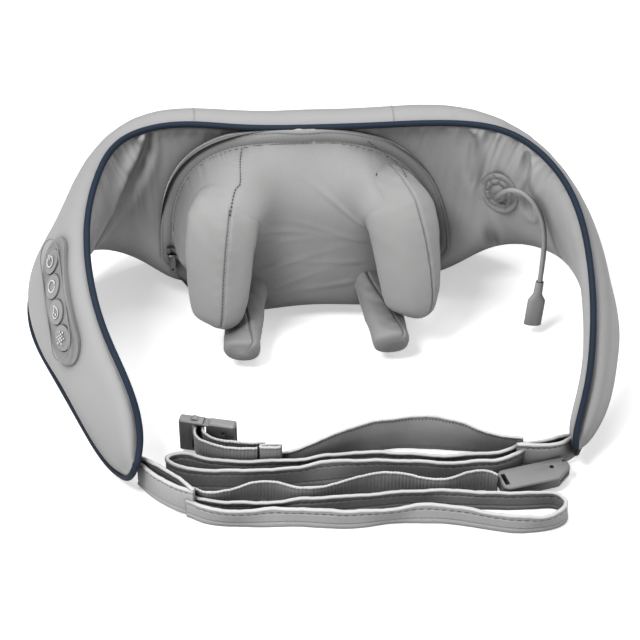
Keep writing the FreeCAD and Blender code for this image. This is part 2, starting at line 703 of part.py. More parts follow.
def make_keypad():
    plate = stadium(KEYPAD_LENGTH, KEYPAD_WIDTH, -16, 12).common(bent_layer(-3.0, KEYPAD_RISE))
    for x in button_places():
        plate = plate.cut(z_rod(BUTTON_R + BUTTON_GAP, x, 0, -20, 20))
    return on_keypad(plate)


def make_button(x):
    cap = z_rod(BUTTON_R, x, 0, -16, 12).common(bent_layer(-2.6, KEYPAD_RISE + 1.2))
    return on_keypad(cap.fuse(z_rod(2.0, x, 0, -5.9, -2.0)))


def make_control_board():
    return on_keypad(block(-42, 42, -11, 11, -12.0, -10.4))


def make_switches():
    switches = [block(x - 3, x + 3, -3, 3, -10.4, -6.9) for x in button_places()]
    return [on_keypad(s) for s in switches]


def keypad_pocket(spare, depth):
    return on_keypad(stadium(KEYPAD_LENGTH + 2 * spare, KEYPAD_WIDTH + 2 * spare, -depth, 14))


# ---- charging lead -----------------------------------------------------------------------

def grommet_rod(radius, back, front):
    return rod(radius, GROMMET_CENTRE + GROMMET_FACING * back, GROMMET_CENTRE + GROMMET_FACING * front)


def make_grommet():
    """Stepped rubber disc with a bore for the cord."""
    disc = grommet_rod(GROMMET_R, -3.0, 2.2)
    disc = disc.fuse(grommet_rod(GROMMET_R * 0.72, 2.2, 3.4)).fuse(grommet_rod(GROMMET_R * 0.36, 3.4, 5.0))
    return disc.cut(grommet_rod(CORD_R, -5.0, 6.0))


def make_cord():
    start = GROMMET_CENTRE + GROMMET_FACING * -3.0
    near = GROMMET_CENTRE + GROMMET_FACING * 4.0
    cord = tube(curve([start, near] + CORD_PATH + [PLUG_TOP]), CORD_R)
    collar = grommet_rod(CORD_R + 1.0, -3.5, 6.5)
    return cord.cut(collar).fuse(grommet_rod(CORD_R, -3.0, 6.5))


def plug_rectangle(share, width, depth):
    """Rounded rectangle square to the plug's axis, share of the way down it."""
    axis = (PLUG_END - PLUG_TOP).normalize()
    side = V(0, 1, 0).cross(axis).normalize()
    front = axis.cross(side)
    centre = PLUG_TOP + (PLUG_END - PLUG_TOP) * share
    a = side * (width / 2.0)
    b = front * (depth / 2.0)
    soft = 0.72
    points = [centre + a, centre + a * soft + b * soft, centre + b, centre - a * soft + b * soft,
              centre - a, centre - a * soft - b * soft, centre - b, centre + a * soft - b * soft]
    return Part.Wire([curve(points, closed=True)])


def make_charge_socket():
    """Moulded socket: a neck round the cord, sloping shoulders and a flat open body."""
    sections = [plug_rectangle(0.012, 6.6, 5.8), plug_rectangle(0.30, 7.4, 6.2),
                plug_rectangle(0.44, PLUG_WIDTH, PLUG_DEPTH), plug_rectangle(1.0, PLUG_WIDTH, PLUG_DEPTH)]
    mouth = [plug_rectangle(0.80, 8.6, 3.2), plug_rectangle(1.1, 8.6, 3.2)]
    return loft(sections, straight=True).cut(loft(mouth, straight=True))


# ---- straps and buckles ------------------------------------------------------------------

def ribbon(path, thickness, z0, z1):
    """Strap standing on edge along a path seen from above."""
    near = []
    far = []
    for i, (x, y) in enumerate(path):
        before = path[max(i - 1, 0)]
        after = path[min(i + 1, len(path) - 1)]
        along = V(after[0] - before[0], after[1] - before[1], 0).normalize()
        square = V(-along.y, along.x, 0) * (thickness / 2.0)
        near.append(V(x, y, z0) + square)
        far.append(V(x, y, z0) - square)
    edges = [curve(near), Part.makeLine(near[-1], far[-1]), curve(far), Part.makeLine(far[0], near[0])]
    return Part.Face(Part.Wire(Part.__sortEdges__(edges))).extrude(V(0, 0, z1 - z0))


def placed(shape, centre, degrees):
    moved = shape.copy()
    moved.Placement = FreeCAD.Placement(centre, FreeCAD.Rotation(V(0, 0, 1), degrees))
    return moved


def make_buckle_socket():
    """Ladder-bar half of the buckle, standing on edge, webbing wrapped round its bar."""
    length, depth, height = SOCKET_SIZE
    body = block(-length / 2, length / 2, -depth / 2, depth / 2, -height / 2, height / 2)
    body = body.makeChamfer(1.2, body.Edges)
    slot_top = height / 2 - 3.0
    body = body.cut(block(-11.5, -0.5, -depth, depth, -slot_top, slot_top))
    body = body.cut(block(3.0, length, -2.2, 2.2, -slot_top, slot_top))
    body = body.cut(y_rod(1.3, 13.0, 7.0, -depth, depth))
    body = body.cut(block(-3.0, 2.0, -depth, depth, height / 2 - 1.6, height))
    bar = z_rod(1.4, -6.0, 0, -height / 2 + 1.5, height / 2 - 1.5)
    thumb = y_rod(4.0, -10.0, height / 2 - 2.4, -2.5, 2.5)
    thumb = thumb.cut(block(-20, 10, -5, 5, -height, height / 2 - 1.5))
    return placed(body.fuse(bar).fuse(thumb), SOCKET_CENTRE, SOCKET_TURN)


def make_buckle_plug():
    """Flat tapering half of the buckle with two layers at its open end."""
    length, width, height = PLUG_BUCKLE_SIZE
    half = length / 2.0
    side = width / 2.0
    outline = [V(-half, -side + 4, 0), V(-half + 4, -side, 0), V(half - 13, -side, 0), V(half, -side + 10, 0),
               V(half, side - 1, 0), V(half - 2, side, 0), V(-half + 4, side, 0), V(-half, side - 4, 0)]
    face = Part.Face(Part.makePolygon(outline + [outline[0]]))
    body = face.extrude(V(0, 0, height))
    body.translate(V(0, 0, -height / 2))
    body = body.makeChamfer(1.0, body.Edges)
    body = body.cut(block(half - 12, half + 1, -side - 1, side - 4, -1.0, 1.0))
    body = body.cut(block(half - 4, half + 1, side - 6, side - 3.5, -height, height))
    body = body.cut(block(-half + 2.5, -half + 6, -side + 5, side - 5, -height, height))
    body = body.cut(z_rod(1.8, half - 14, 2.5, -height, height))
    return placed(body, PLUG_BUCKLE_CENTRE, PLUG_BUCKLE_TURN)


# ---- batteries, boards, heater -----------------------------------------------------------

def make_cells():
    x = 20.5
    return [rod(CELL_R, V(s * x, CELL_Y, CELL_Z), V(s * (x + CELL_LENGTH), CELL_Y, CELL_Z)) for s in (-1, 1)]


def make_cradles():
    cradle = block(19.5, 86.5, 3.5, 24.5, 12.0, 22.5)
    room = rod(CELL_R + 0.15, V(20.3, CELL_Y, CELL_Z), V(85.7, CELL_Y, CELL_Z))
    cradle = cradle.cut(room)
    return [cradle, mirrored(cradle)]


def make_main_board():
    return block(-22, 22, 3, 23, 127.6, 129.2)


def make_harness():
    points = [V(-23.5, 13, 128.4), V(-60, 17, 131), V(-95, 16, 122), V(-118, 8, 104)]
    return tube(curve(points), 1.5)


def make_heating_pad():
    """Thin heater between the gearbox and the hood, pierced for both shafts."""
    sheet = block(-84, 84, -10.0, -9.0, 50, 120)
    for x in (-WHEEL_X, WHEEL_X):
        sheet = sheet.cut(y_rod(SHAFT_R + 4.0, x, SHAFT_Z, -20, 0))
    return sheet


def main():
    outer, inner = make_covers()
    save("outer_cover", outer.cut(keypad_pocket(0.4, 15)))
    save("inner_cover", inner.cut(grommet_rod(GROMMET_R + 0.4, -12, 12)))
    save("cover_piping", *make_piping())
    save("left_arm_foam", make_arm_foam(ARM_STATIONS_LEFT).cut(keypad_pocket(0.6, 14)))
    save("right_arm_foam", make_arm_foam(ARM_STATIONS_RIGHT))
    save("rear_foam", make_rear_foam())
    save("base_strip", block(-BASE_LENGTH / 2, BASE_LENGTH / 2, -BASE_WIDTH / 2, BASE_WIDTH / 2, 0, BASE_THICKNESS))

    save("massage_hood", make_hood())
    save("hood_zip", make_hood_zip())
    save("zip_slider", make_zip_slider())
    save("zip_pull", make_zip_pull())
    save("heating_pad", make_heating_pad())

    front, rear = make_housing()
    save("gearbox_front", front)
    save("gearbox_rear", rear)
    save("gearbox_screws", *make_housing_screws())
    can, cap, magnets, rotor = make_motor()
    save("motor_can", can)
    save("motor_end_cap", cap)
    save("motor_magnets", *magnets.Solids)
    save("motor_rotor", rotor)
    save("worm_shaft", make_worm())
    save("shaft_bushes", *(make_bushes(WHEEL_X) + make_bushes(-WHEEL_X)))
    wheel = make_wheel()
    save("right_worm_wheel", wheel)
    save("left_worm_wheel", left_from_right_wheel(wheel))

    pieces = {
        "output_shaft": [make_shaft()],
        "tilted_hub": [make_hub()],
        "hub_cap_and_screw": [make_hub_cap(), make_hub_screw()],
        "claw_bearing": [make_claw_bearing()],
        "claw_frame": [make_claw_frame(8.0, 7.0)],
        "finger_pads": [make_pad(UPPER_FINGER, 8.0), make_pad(LOWER_FINGER, 7.0)],
        "upper_sleeve": [make_sleeve(UPPER_FINGER)],
        "lower_sleeve": [make_sleeve(LOWER_FINGER)],
    }
    for name, shapes in pieces.items():
        save("right_" + name, *shapes)
        save("left_" + name, *[mirrored(shape) for shape in shapes])

    save("keypad_plate", make_keypad())
    for name, x in zip(BUTTON_NAMES, button_places()):
        save(name, make_button(x))
    save("control_board", make_control_board(), *make_switches())
    save("main_board", make_main_board())
    save("battery_cells", *make_cells())
    save("battery_cradles", *make_cradles())
    save("wiring_harness", make_harness())

    save("charge_grommet", make_grommet())
    save("charge_cord", make_cord())
    save("charge_socket", make_charge_socket())

    save("left_hand_loop", ribbon(LEFT_LOOP, BELT_THICKNESS, 0, 18))
    save("right_hand_loop", ribbon(RIGHT_LOOP, BELT_THICKNESS, 0, 22))
    save("elastic_webbing", ribbon(ELASTIC, WEBBING_THICKNESS, 1, 22))
    save("wide_strap", ribbon(WIDE_STRAP, BELT_THICKNESS, 2, 34))
    end_stop = block(-54, -38, -252, -246.6, 7, 31)
    save("adjuster_webbing", ribbon(ADJUSTER, WEBBING_THICKNESS, 8, 30), end_stop)
    save("strap_roots", ribbon(LEFT_ROOT, 6.0, 2, 27), ribbon(RIGHT_ROOT, 5.0, 4, 26))
    save("buckle_socket", make_buckle_socket())
    save("buckle_plug", make_buckle_plug())


main()
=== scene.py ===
"""Looks of the shiatsu neck massager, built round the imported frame.

Lengths are in metres. Each visible piece is measured on the node that it stands for, so it
follows that node's place and size. The pieces are built in this order: collar, piping cord,
fingers, hood, straps, moulded parts, stage.
"""

import json
import math

import bmesh
import bpy
import numpy as np
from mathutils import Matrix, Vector
from mathutils.bvhtree import BVHTree


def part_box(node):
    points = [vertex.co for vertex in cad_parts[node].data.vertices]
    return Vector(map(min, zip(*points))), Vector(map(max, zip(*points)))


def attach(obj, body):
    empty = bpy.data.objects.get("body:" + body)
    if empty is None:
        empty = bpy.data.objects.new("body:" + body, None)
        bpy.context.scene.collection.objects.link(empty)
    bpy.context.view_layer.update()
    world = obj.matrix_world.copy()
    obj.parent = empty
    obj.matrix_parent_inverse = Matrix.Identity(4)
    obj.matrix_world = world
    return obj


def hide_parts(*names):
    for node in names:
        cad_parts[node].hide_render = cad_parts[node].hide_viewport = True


MM = 0.001

# Camera and light.
CAMERA_AZIMUTH = -5.0
CAMERA_ELEVATION = 38.0
CAMERA_DISTANCE = 1.5
CAMERA_LENS = 108.0
CAMERA_SENSOR = 36.0
CAMERA_TARGET = Vector((0.0, -0.150, 0.070))
LIGHT_TARGET = (0.0, -0.1, 0.05)
LIGHTS = (
    # name, place, size of the disk, power in watts
    ("key_light", (-0.75, -0.75, 1.5), 0.6, 23.0),
    ("fill_light", (1.2, -0.6, 1.2), 1.0, 5.0),
    ("top_light", (0.1, 0.35, 1.7), 0.9, 10.0),
)
WORLD_LIGHT = 0.17
FLOOR_SIZE = 8.0
FLOOR_GLOW = 0.50

# Colours, and the painted shade: ambient occlusion darkens the base colour in deep creases.
COVER_GREY = (0.43, 0.43, 0.43)
LINING_GREY = (0.50, 0.50, 0.498)
HOOD_GREY = (0.38, 0.38, 0.378)
SLEEVE_GREY = (0.38, 0.38, 0.378)
STRAP_GREY = (0.76, 0.76, 0.758)
VELOUR_GREY = (0.86, 0.86, 0.858)
WEBBING_GREY = (0.78, 0.78, 0.778)
PLASTIC_GREY = (0.31, 0.31, 0.315)
KEYPAD_GREY = (0.32, 0.32, 0.322)
NAVY = (0.004, 0.015, 0.036)
# Reach and strength of the painted shade in creases.
PAINTED_SHADE_REACH = 70.0 * MM
PAINTED_SHADE_DEPTH = 0.35

# Collar. CORD_RADIUS is the radius of the cover_piping node, which the seam line is read from.
CORD_RADIUS = 1.5 * MM
SHOWN_CORD_RADIUS = 2.6 * MM
SKIN = 1.6 * MM
COLLAR_ROWS = 420
COLLAR_ACROSS = 46
LEFT_CORNER = (-0.170, -0.040, 0.155)
RIGHT_CORNER = (0.165, -0.040, 0.160)
CORNER_REACH = 62.0 * MM
PANEL_SEAM_X = (-0.088, 0.072)
CLOTH_PRESSURE = 2.6
CLOTH_GROWTH = 0.02
CLOTH_BENDING = 0.25
CLOTH_FRAMES = 16
CLOTH_REACH = 4.5 * MM

# Deep folds of the lining, as points in millimetres, with depth and width in millimetres
# and the height of the roll of cloth beside the fold.
LINING_FOLDS = (
    ([(-126, -6, 157), (-128, -5, 141), (-135, -12, 131), (-144, -24, 120), (-154, -36, 110),
      (-163, -39, 96), (-173, -37, 79), (-180, -30, 62)], 4.6, 6.0, 5.0),
    ([(176, -46, 152), (178, -52, 138), (176, -56, 122), (176, -58, 108), (180, -60, 92)], 3.6, 5.0, 2.6),
    ([(134, -20, 152), (136, -23, 138), (137, -27, 124), (139, -28, 108)], 2.6, 6.0, 2.2),
    ([(148, -34, 84), (152, -34, 70), (156, -32, 55), (160, -26, 44)], 4.0, 5.0, 2.4),
)

# Fingers. A sleeve's seam wanders from the first to the second angle, in radians.
SEAM_WANDER = {
    ("left", True): (0.20, 0.10), ("right", True): (0.30, 0.95),
    ("left", False): (-0.5, 0.7), ("right", False): (-0.5, 0.7),
}
OUTER_POWER = 1.85
TIP_SKEW = 4.0 * MM
SHOULDER_DROP = 9.0 * MM
SHOULDER_SINK = 2.4 * MM

# Hood.
HOOD_SPRING = 36.0 * MM
HOOD_FOOT_SHARE = 0.80
HOOD_MIDDLE_HEIGHT = 0.062
HOOD_REACH_UPPER = 62.0 * MM
HOOD_REACH_LOWER = 36.0 * MM
HOOD_LEAST = 22.0 * MM
HOOD_DIVE = 0.9
HOOD_FREE_HALF = 62.0 * MM
BAND_CLEAR = 11.0 * MM
SHOULDER_HEIGHT = 119.0 * MM
SHOULDER_SEAM_X = (("left", -0.052), ("right", 0.050))

# Straps and moulded parts.
STRAP_FALL = 62.0 * MM
STITCH_PITCH = 5.6 * MM
MARK_SCALE = 1.2
RIM_INSET = 2.8 * MM
GROMMET_FACING = (-0.574, -0.818, 0.050)

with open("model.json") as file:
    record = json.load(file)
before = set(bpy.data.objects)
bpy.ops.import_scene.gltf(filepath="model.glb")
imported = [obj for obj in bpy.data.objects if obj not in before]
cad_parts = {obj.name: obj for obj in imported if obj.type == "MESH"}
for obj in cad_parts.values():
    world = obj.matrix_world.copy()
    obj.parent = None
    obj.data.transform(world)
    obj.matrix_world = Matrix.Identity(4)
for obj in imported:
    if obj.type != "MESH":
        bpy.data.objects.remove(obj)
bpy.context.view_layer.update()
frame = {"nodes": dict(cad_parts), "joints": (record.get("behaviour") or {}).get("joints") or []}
nodes = frame["nodes"]


# ---- arrays and meshes -------------------------------------------------------------------

def unit(v):
    return v / np.maximum(np.linalg.norm(v, axis=-1, keepdims=True), 1e-12)


def get_points(obj):
    co = np.zeros(len(obj.data.vertices) * 3)
    obj.data.vertices.foreach_get("co", co)
    return co.reshape(-1, 3)


def node_points(name):
    return get_points(nodes[name])


def joint_origin(name):
    joint = next(j for j in frame["joints"] if j["name"] == name)
    return np.array(joint["pos_m"], float)


def mesh_tree(mesh):
    verts = [v.co.copy() for v in mesh.vertices]
    return BVHTree.FromPolygons(verts, [list(p.vertices) for p in mesh.polygons])


def make_object(name, verts, faces, material, uvs=None):
    """A smooth-shaded mesh object; uvs are one pair per vertex, in metres."""
    mesh = bpy.data.meshes.new(name)
    mesh.from_pydata([tuple(v) for v in verts], [], faces)
    mesh.update()
    if uvs is not None:
        layer = mesh.uv_layers.new(name="UVMap")
        loop_vertex = np.zeros(len(mesh.loops), dtype=int)
        mesh.loops.foreach_get("vertex_index", loop_vertex)
        layer.data.foreach_set("uv", np.asarray(uvs)[loop_vertex].astype(np.float32).ravel())
    mesh.polygons.foreach_set("use_smooth", [True] * len(mesh.polygons))
    obj = bpy.data.objects.new(name, mesh)
    bpy.context.scene.collection.objects.link(obj)
    obj.data.materials.append(material)
    return obj


def grid_faces(rows, cols, wrap=False):
    """Quads of a rows x cols grid of points, optionally closed across the columns."""
    faces = []
    last = cols if wrap else cols - 1
    for r in range(rows - 1):
        for c in range(last):
            d = (c + 1) % cols
            faces.append((r * cols + c, r * cols + d, (r + 1) * cols + d, (r + 1) * cols + c))
    return faces


def grid_uv(grid, wrap=False):
    """Length along and across a grid of points, as texture coordinates."""
    along = np.linalg.norm(np.diff(grid, axis=0), axis=2).mean(axis=1)
    across = np.linalg.norm(np.diff(grid, axis=1), axis=2).mean(axis=0)
    u = np.concatenate([[0.0], np.cumsum(along)])
    v = np.concatenate([[0.0], np.cumsum(across)])
    uu, vv = np.meshgrid(u, v, indexing="ij")
    return np.stack([uu.ravel(), vv.ravel()], axis=1)


def finish_piece(obj, body, slot, *replaced):
    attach(obj, body)
    if replaced:
        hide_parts(*replaced)
    return obj


def set_points(obj, points):
    obj.data.vertices.foreach_set("co", np.asarray(points, dtype=np.float32).ravel())
    obj.data.update()


def lengths(points):
    """Distance along a polyline at each of its points."""
    step = np.linalg.norm(np.diff(points, axis=0), axis=1)
    return np.concatenate([[0.0], np.cumsum(step)])


def points_at(want, s, points):
    """Points at the wanted distances along a polyline; s holds its own distances."""
    return np.stack([np.interp(want, s, column) for column in points.T], axis=-1)


def resample(points, count, closed=False):
    """Evenly spaced points along a polyline."""
    pts = np.asarray(points, float)
    if closed:
        pts = np.vstack([pts, pts[:1]])
    s = lengths(pts)
    return points_at(np.linspace(0.0, s[-1], count, endpoint=not closed), s, pts)


def fill_line(values):
    """A row of numbers with its missing ones filled in between their neighbours."""
    index = np.arange(len(values))
    good = ~np.isnan(values)
    return np.interp(index, index[good], values[good])


def grid_normals(grid):
    return unit(np.cross(np.gradient(grid, axis=0), np.gradient(grid, axis=1)))


def left_of(line):
    """Unit vectors square to a plane line, on its left."""
    way = unit(np.gradient(line, axis=0))
    return np.stack([-way[:, 1], way[:, 0]], axis=1)


def smooth_line(points, passes, closed=False):
    pts = np.array(points, float)
    for _ in range(passes):
        if closed:
            pts = (np.roll(pts, 1, axis=0) + 2.0 * pts + np.roll(pts, -1, axis=0)) / 4.0
        else:
            pts[1:-1] = (pts[:-2] + 2.0 * pts[1:-1] + pts[2:]) / 4.0
    return pts


def wavy(s, seed, octaves=3):
    """Smooth repeatable wobble of about unit size along s."""
    rng = np.random.RandomState(seed)
    total = np.zeros_like(np.asarray(s, float))
    for k in range(octaves):
        total += math.pow(0.6, k) * np.sin(s * (k + 1) * 2.1 + rng.uniform(0, 2 * math.pi))
    return total / 1.6


# ---- materials ---------------------------------------------------------------------------

class Nodes:
    """Short hand for building one node material."""

    def __init__(self, name):
        self.material = bpy.data.materials.new(name)
        self.material.use_nodes = True
        self.tree = self.material.node_tree
        self.shader = self.tree.nodes["Principled BSDF"]
        self.coords = self.tree.nodes.new("ShaderNodeTexCoord")

    def add(self, kind, **values):
        node = self.tree.nodes.new("ShaderNode" + kind)
        for key, value in values.items():
            setattr(node, key, value)
        return node

    def link(self, a, b):
        self.tree.links.new(a, b)

    def noise(self, source, scale, detail=3.0, rough=0.55):
        node = self.add("TexNoise")
        node.inputs["Scale"].default_value = scale
        node.inputs["Detail"].default_value = detail
        node.inputs["Roughness"].default_value = rough
        self.link(self.coords.outputs[source], node.inputs["Vector"])
        return node.outputs["Fac"]

    def stripes(self, source, scale, direction, distortion=0.0):
        node = self.add("TexWave", wave_type="BANDS", bands_direction=direction)
        node.inputs["Scale"].default_value = scale
        node.inputs["Distortion"].default_value = distortion
        node.inputs["Detail"].default_value = 1.0
        self.link(self.coords.outputs[source], node.inputs["Vector"])
        return node.outputs["Fac"]

    def math(self, operation, a, b):
        node = self.add("Math", operation=operation)
        for slot, value in ((0, a), (1, b)):
            if isinstance(value, (int, float)):
                node.inputs[slot].default_value = value
            else:
                self.link(value, node.inputs[slot])
        return node.outputs[0]

    def blend(self, a, share, b):
        """A share of the first value and the rest of the second."""
        one = self.math("MULTIPLY", a, share)
        two = self.math("MULTIPLY", b, 1.0 - share)
        return self.math("ADD", one, two)

    def multiply(self, factor, a, b):
        """Two colours multiplied, as far as the factor says."""
        node = self.add("Mix", data_type="RGBA", blend_type="MULTIPLY")
        node.inputs["Factor"].default_value = factor
        if isinstance(a, tuple):
            node.inputs["A"].default_value = (*a, 1.0)
        else:
            self.link(a, node.inputs["A"])
        self.link(b, node.inputs["B"])
        return node.outputs["Result"]

    def remap(self, value, low, high):
        node = self.add("MapRange")
        node.inputs["To Min"].default_value = low
        node.inputs["To Max"].default_value = high
        self.link(value, node.inputs["Value"])
        return node.outputs["Result"]

    def tint_with_painted_shade(self, colour, amount_from, low, high):
        """Base colour times a factor that runs from low to high, with painted shade: an ambient occlusion
        node darkens it in deep creases.
        """
        factor = self.remap(amount_from, low, high)
        grey = self.add("CombineColor")
        for channel in ("Red", "Green", "Blue"):
            self.link(factor, grey.inputs[channel])
        # Painted shade: ambient occlusion darkens the base colour in creases and recesses.
        painted_shade = self.add("AmbientOcclusion", samples=6)
        painted_shade.inputs["Distance"].default_value = PAINTED_SHADE_REACH
        self.link(self.multiply(1.0, colour, grey.outputs[0]), painted_shade.inputs["Color"])
        deep = self.multiply(PAINTED_SHADE_DEPTH, painted_shade.outputs["Color"], painted_shade.outputs["AO"])
        self.link(deep, self.shader.inputs["Base Color"])

    def bump(self, heights):
        """Stack bumps given as (height socket, distance in metres, strength)."""
        normal = None
        for height, distance, strength in heights:
            node = self.add("Bump")
            node.inputs["Distance"].default_value = distance
            node.inputs["Strength"].default_value = strength
            self.link(height, node.inputs["Height"])
            if normal is not None:
                self.link(normal, node.inputs["Normal"])
            normal = node.outputs["Normal"]
        self.link(normal, self.shader.inputs["Normal"])

    def rough(self, source, low, high):
        self.link(self.remap(source, low, high), self.shader.inputs["Roughness"])

    def sheen(self, weight, roughness=0.4):
        self.shader.inputs["Sheen Weight"].default_value = weight
        self.shader.inputs["Sheen Roughness"].default_value = roughness


def woven(name, colour, thread, bump=0.5, sheen=0.25, rough=0.78, mottle=0.06):
    """Plain-woven or knitted cloth: crossed threads, fuzz, slow shade variation."""
    n = Nodes(name)
    per_metre = 1.0 / thread / 6.3
    warp = n.stripes("UV", per_metre, "X", 0.4)
    weft = n.stripes("UV", per_metre, "Y", 0.4)
    weave = n.math("MULTIPLY", warp, weft)
    fuzz = n.noise("Object", 1400.0, 2.0)
    patches = n.noise("Object", 28.0, 3.0)
    n.tint_with_painted_shade(colour, n.blend(weave, 0.25, patches), 1.0 - 2.0 * mottle, 1.0 + 2.0 * mottle)
    n.rough(fuzz, rough - 0.06, rough + 0.08)
    n.bump([(patches, 1.2 * MM, 0.15), (weave, 0.18 * MM, bump), (fuzz, 0.12 * MM, bump * 0.7)])
    n.sheen(sheen)
    return n.material


def coated(name, colour):
    """Soft coated fabric: fine pebble grain, slight satin, faint creases."""
    n = Nodes(name)
    grain = n.add("TexVoronoi", feature="DISTANCE_TO_EDGE")
    grain.inputs["Scale"].default_value = 900.0
    n.link(n.coords.outputs["Object"], grain.inputs["Vector"])
    pores = n.noise("Object", 1800.0, 2.0)
    creases = n.noise("Object", 55.0, 5.0, 0.6)
    patches = n.noise("Object", 9.0, 2.0)
    n.tint_with_painted_shade(colour, n.blend(patches, 0.7, pores), 0.93, 1.07)
    n.rough(creases, 0.46, 0.62)
    pebbles = grain.outputs["Distance"]
    n.bump([(creases, 0.9 * MM, 0.18), (pebbles, 0.12 * MM, 0.25), (pores, 0.06 * MM, 0.3)])
    n.sheen(0.08)
    return n.material


def velour(name, colour):
    """Short-pile fabric: soft mottling, strong sheen."""
    n = Nodes(name)
    pile = n.noise("Object", 2600.0, 2.0)
    brushed = n.noise("Object", 70.0, 5.0, 0.65)
    n.tint_with_painted_shade(colour, n.blend(pile, 0.5, brushed), 0.78, 1.2)
    n.rough(pile, 0.85, 1.0)
    n.bump([(brushed, 0.4 * MM, 0.3), (pile, 0.35 * MM, 0.7)])
    n.sheen(0.5, 0.3)
    return n.material


def moulded(name, colour, rough=0.42, texture=0.25):
    """Moulded plastic or rubber: fine spark texture, handling marks on the roughness."""
    n = Nodes(name)
    spark = n.noise("Object", 3500.0, 2.0)
    marks = n.noise("Object", 120.0, 4.0, 0.7)
    n.tint_with_painted_shade(colour, marks, 0.94, 1.06)
    n.rough(marks, rough - 0.07, rough + 0.09)
    n.bump([(spark, 0.05 * MM, texture)])
    return n.material


def metal(name, colour, rough=0.3):
    """Machined metal with turning marks."""
    n = Nodes(name)
    n.shader.inputs["Metallic"].default_value = 1.0
    lines = n.noise("Object", 2200.0, 2.0)
    stains = n.noise("Object", 60.0, 4.0)
    n.tint_with_painted_shade(colour, stains, 0.88, 1.08)
    n.rough(stains, rough - 0.08, rough + 0.12)
    n.bump([(lines, 0.03 * MM, 0.3)])
    return n.material


def twisted(name, colour):
    """Woven piping cord: slanted yarns round the cord."""
    n = Nodes(name)
    wave = n.add("TexWave", wave_type="BANDS", bands_direction="DIAGONAL")
    wave.inputs["Scale"].default_value = 260.0
    wave.inputs["Distortion"].default_value = 0.6
    n.link(n.coords.outputs["UV"], wave.inputs["Vector"])
    yarn = wave.outputs["Fac"]
    fuzz = n.noise("Object", 1600.0, 2.0)
    worn = n.noise("Object", 35.0, 3.0)
    n.tint_with_painted_shade(colour, n.blend(yarn, 0.5, worn), 0.6, 1.5)
    n.rough(fuzz, 0.62, 0.8)
    n.bump([(yarn, 0.25 * MM, 0.6), (fuzz, 0.1 * MM, 0.4)])
    n.sheen(0.05)
    return n.material


# Every material here gets painted shade in its creases from an ambient occlusion node.
MATERIALS = {
    "cover": coated("cover_fabric", COVER_GREY),
    "lining": woven("lining_fabric", LINING_GREY, 0.5 * MM, bump=0.35, sheen=0.15, rough=0.7),
    "hood": woven("hood_fabric", HOOD_GREY, 0.6 * MM, bump=0.16, sheen=0.35, mottle=0.05),
    "sleeve": woven("sleeve_fabric", SLEEVE_GREY, 0.6 * MM, sheen=0.35, mottle=0.09),
    "piping": twisted("piping_cord", NAVY),
    "strap": woven("strap_fabric", STRAP_GREY, 0.7 * MM, bump=0.45, sheen=0.2),
    "thread": woven("stitch_thread", (0.10, 0.10, 0.10), 0.3 * MM, bump=0.6),
    "band_thread": woven("band_thread", (0.24, 0.24, 0.238), 0.3 * MM, bump=0.6),
    "velour": velour("velour_fabric", VELOUR_GREY),
    "webbing": woven("ribbed_webbing", WEBBING_GREY, 0.8 * MM, bump=0.7, mottle=0.1),
    "zip": woven("zip_tape", (0.36, 0.36, 0.357), 0.7 * MM, bump=0.7),
    "plastic": moulded("buckle_plastic", PLASTIC_GREY),
    "keypad": moulded("keypad_plastic", KEYPAD_GREY, 0.48),
    "button": moulded("button_plastic", (0.35, 0.35, 0.352), 0.44),
    "symbol": moulded("symbol_ink", (0.85, 0.85, 0.86), 0.4),
    "rubber": moulded("lead_rubber", (0.40, 0.40, 0.402), 0.55),
    "base": moulded("base_rubber", (0.05, 0.05, 0.052), 0.7, 0.6),
    "housing": moulded("housing_plastic", (0.025, 0.025, 0.028), 0.5),
    "acetal": moulded("gear_plastic", (0.72, 0.70, 0.64), 0.35),
    "board": moulded("circuit_board", (0.02, 0.12, 0.05), 0.3),
    "heater": moulded("heater_film", (0.55, 0.24, 0.05), 0.3),
    "cell": moulded("cell_wrap", (0.03, 0.10, 0.30), 0.25),
    "foam": velour("padding", (0.6, 0.6, 0.57)),
    "steel": metal("steel", (0.55, 0.55, 0.57)),
    "bronze": metal("bearing_bronze", (0.60, 0.40, 0.18)),
    "zip_metal": metal("zip_metal", (0.33, 0.33, 0.34), 0.4),
}

INNER_MATERIAL = {
    "gearbox_front": "housing", "gearbox_rear": "housing", "gearbox_screws": "steel",
    "motor_can": "steel", "motor_end_cap": "housing", "motor_magnets": "base",
    "motor_rotor": "bronze", "worm_shaft": "bronze", "shaft_bushes": "bronze",
    "battery_cells": "cell", "battery_cradles": "housing", "main_board": "board",
    "control_board": "board", "wiring_harness": "base", "heating_pad": "heater",
    "rear_foam": "foam", "left_arm_foam": "foam", "right_arm_foam": "foam",
    "charge_cord": "rubber",
}
for side in ("left", "right"):
    INNER_MATERIAL[side + "_worm_wheel"] = "acetal"
    INNER_MATERIAL[side + "_output_shaft"] = "steel"
    INNER_MATERIAL[side + "_tilted_hub"] = "steel"
    INNER_MATERIAL[side + "_hub_cap_and_screw"] = "steel"
    INNER_MATERIAL[side + "_claw_bearing"] = "steel"
    INNER_MATERIAL[side + "_claw_frame"] = "housing"
    INNER_MATERIAL[side + "_finger_pads"] = "foam"


def set_material(mesh, key):
    mesh.materials.clear()
    mesh.materials.append(MATERIALS[key])


def paint_inner_parts():
    for name, key in INNER_MATERIAL.items():
        set_material(nodes[name].data, key)


# ---- collar ------------------------------------------------------------------------------

def ring_centres(name, radius):
    """Centres of the rings of points on a swept round cord."""
    mesh = nodes[name].data
    centres = np.array([v.co - v.normal * radius for v in mesh.vertices])
    cells = {}
    for point in centres:
        key = tuple(np.round(point / (1.2 * MM)).astype(int))
        cells.setdefault(key, []).append(point)
    kept = [np.mean(group, axis=0) for group in cells.values() if len(group) >= 3]
    return np.array(kept)


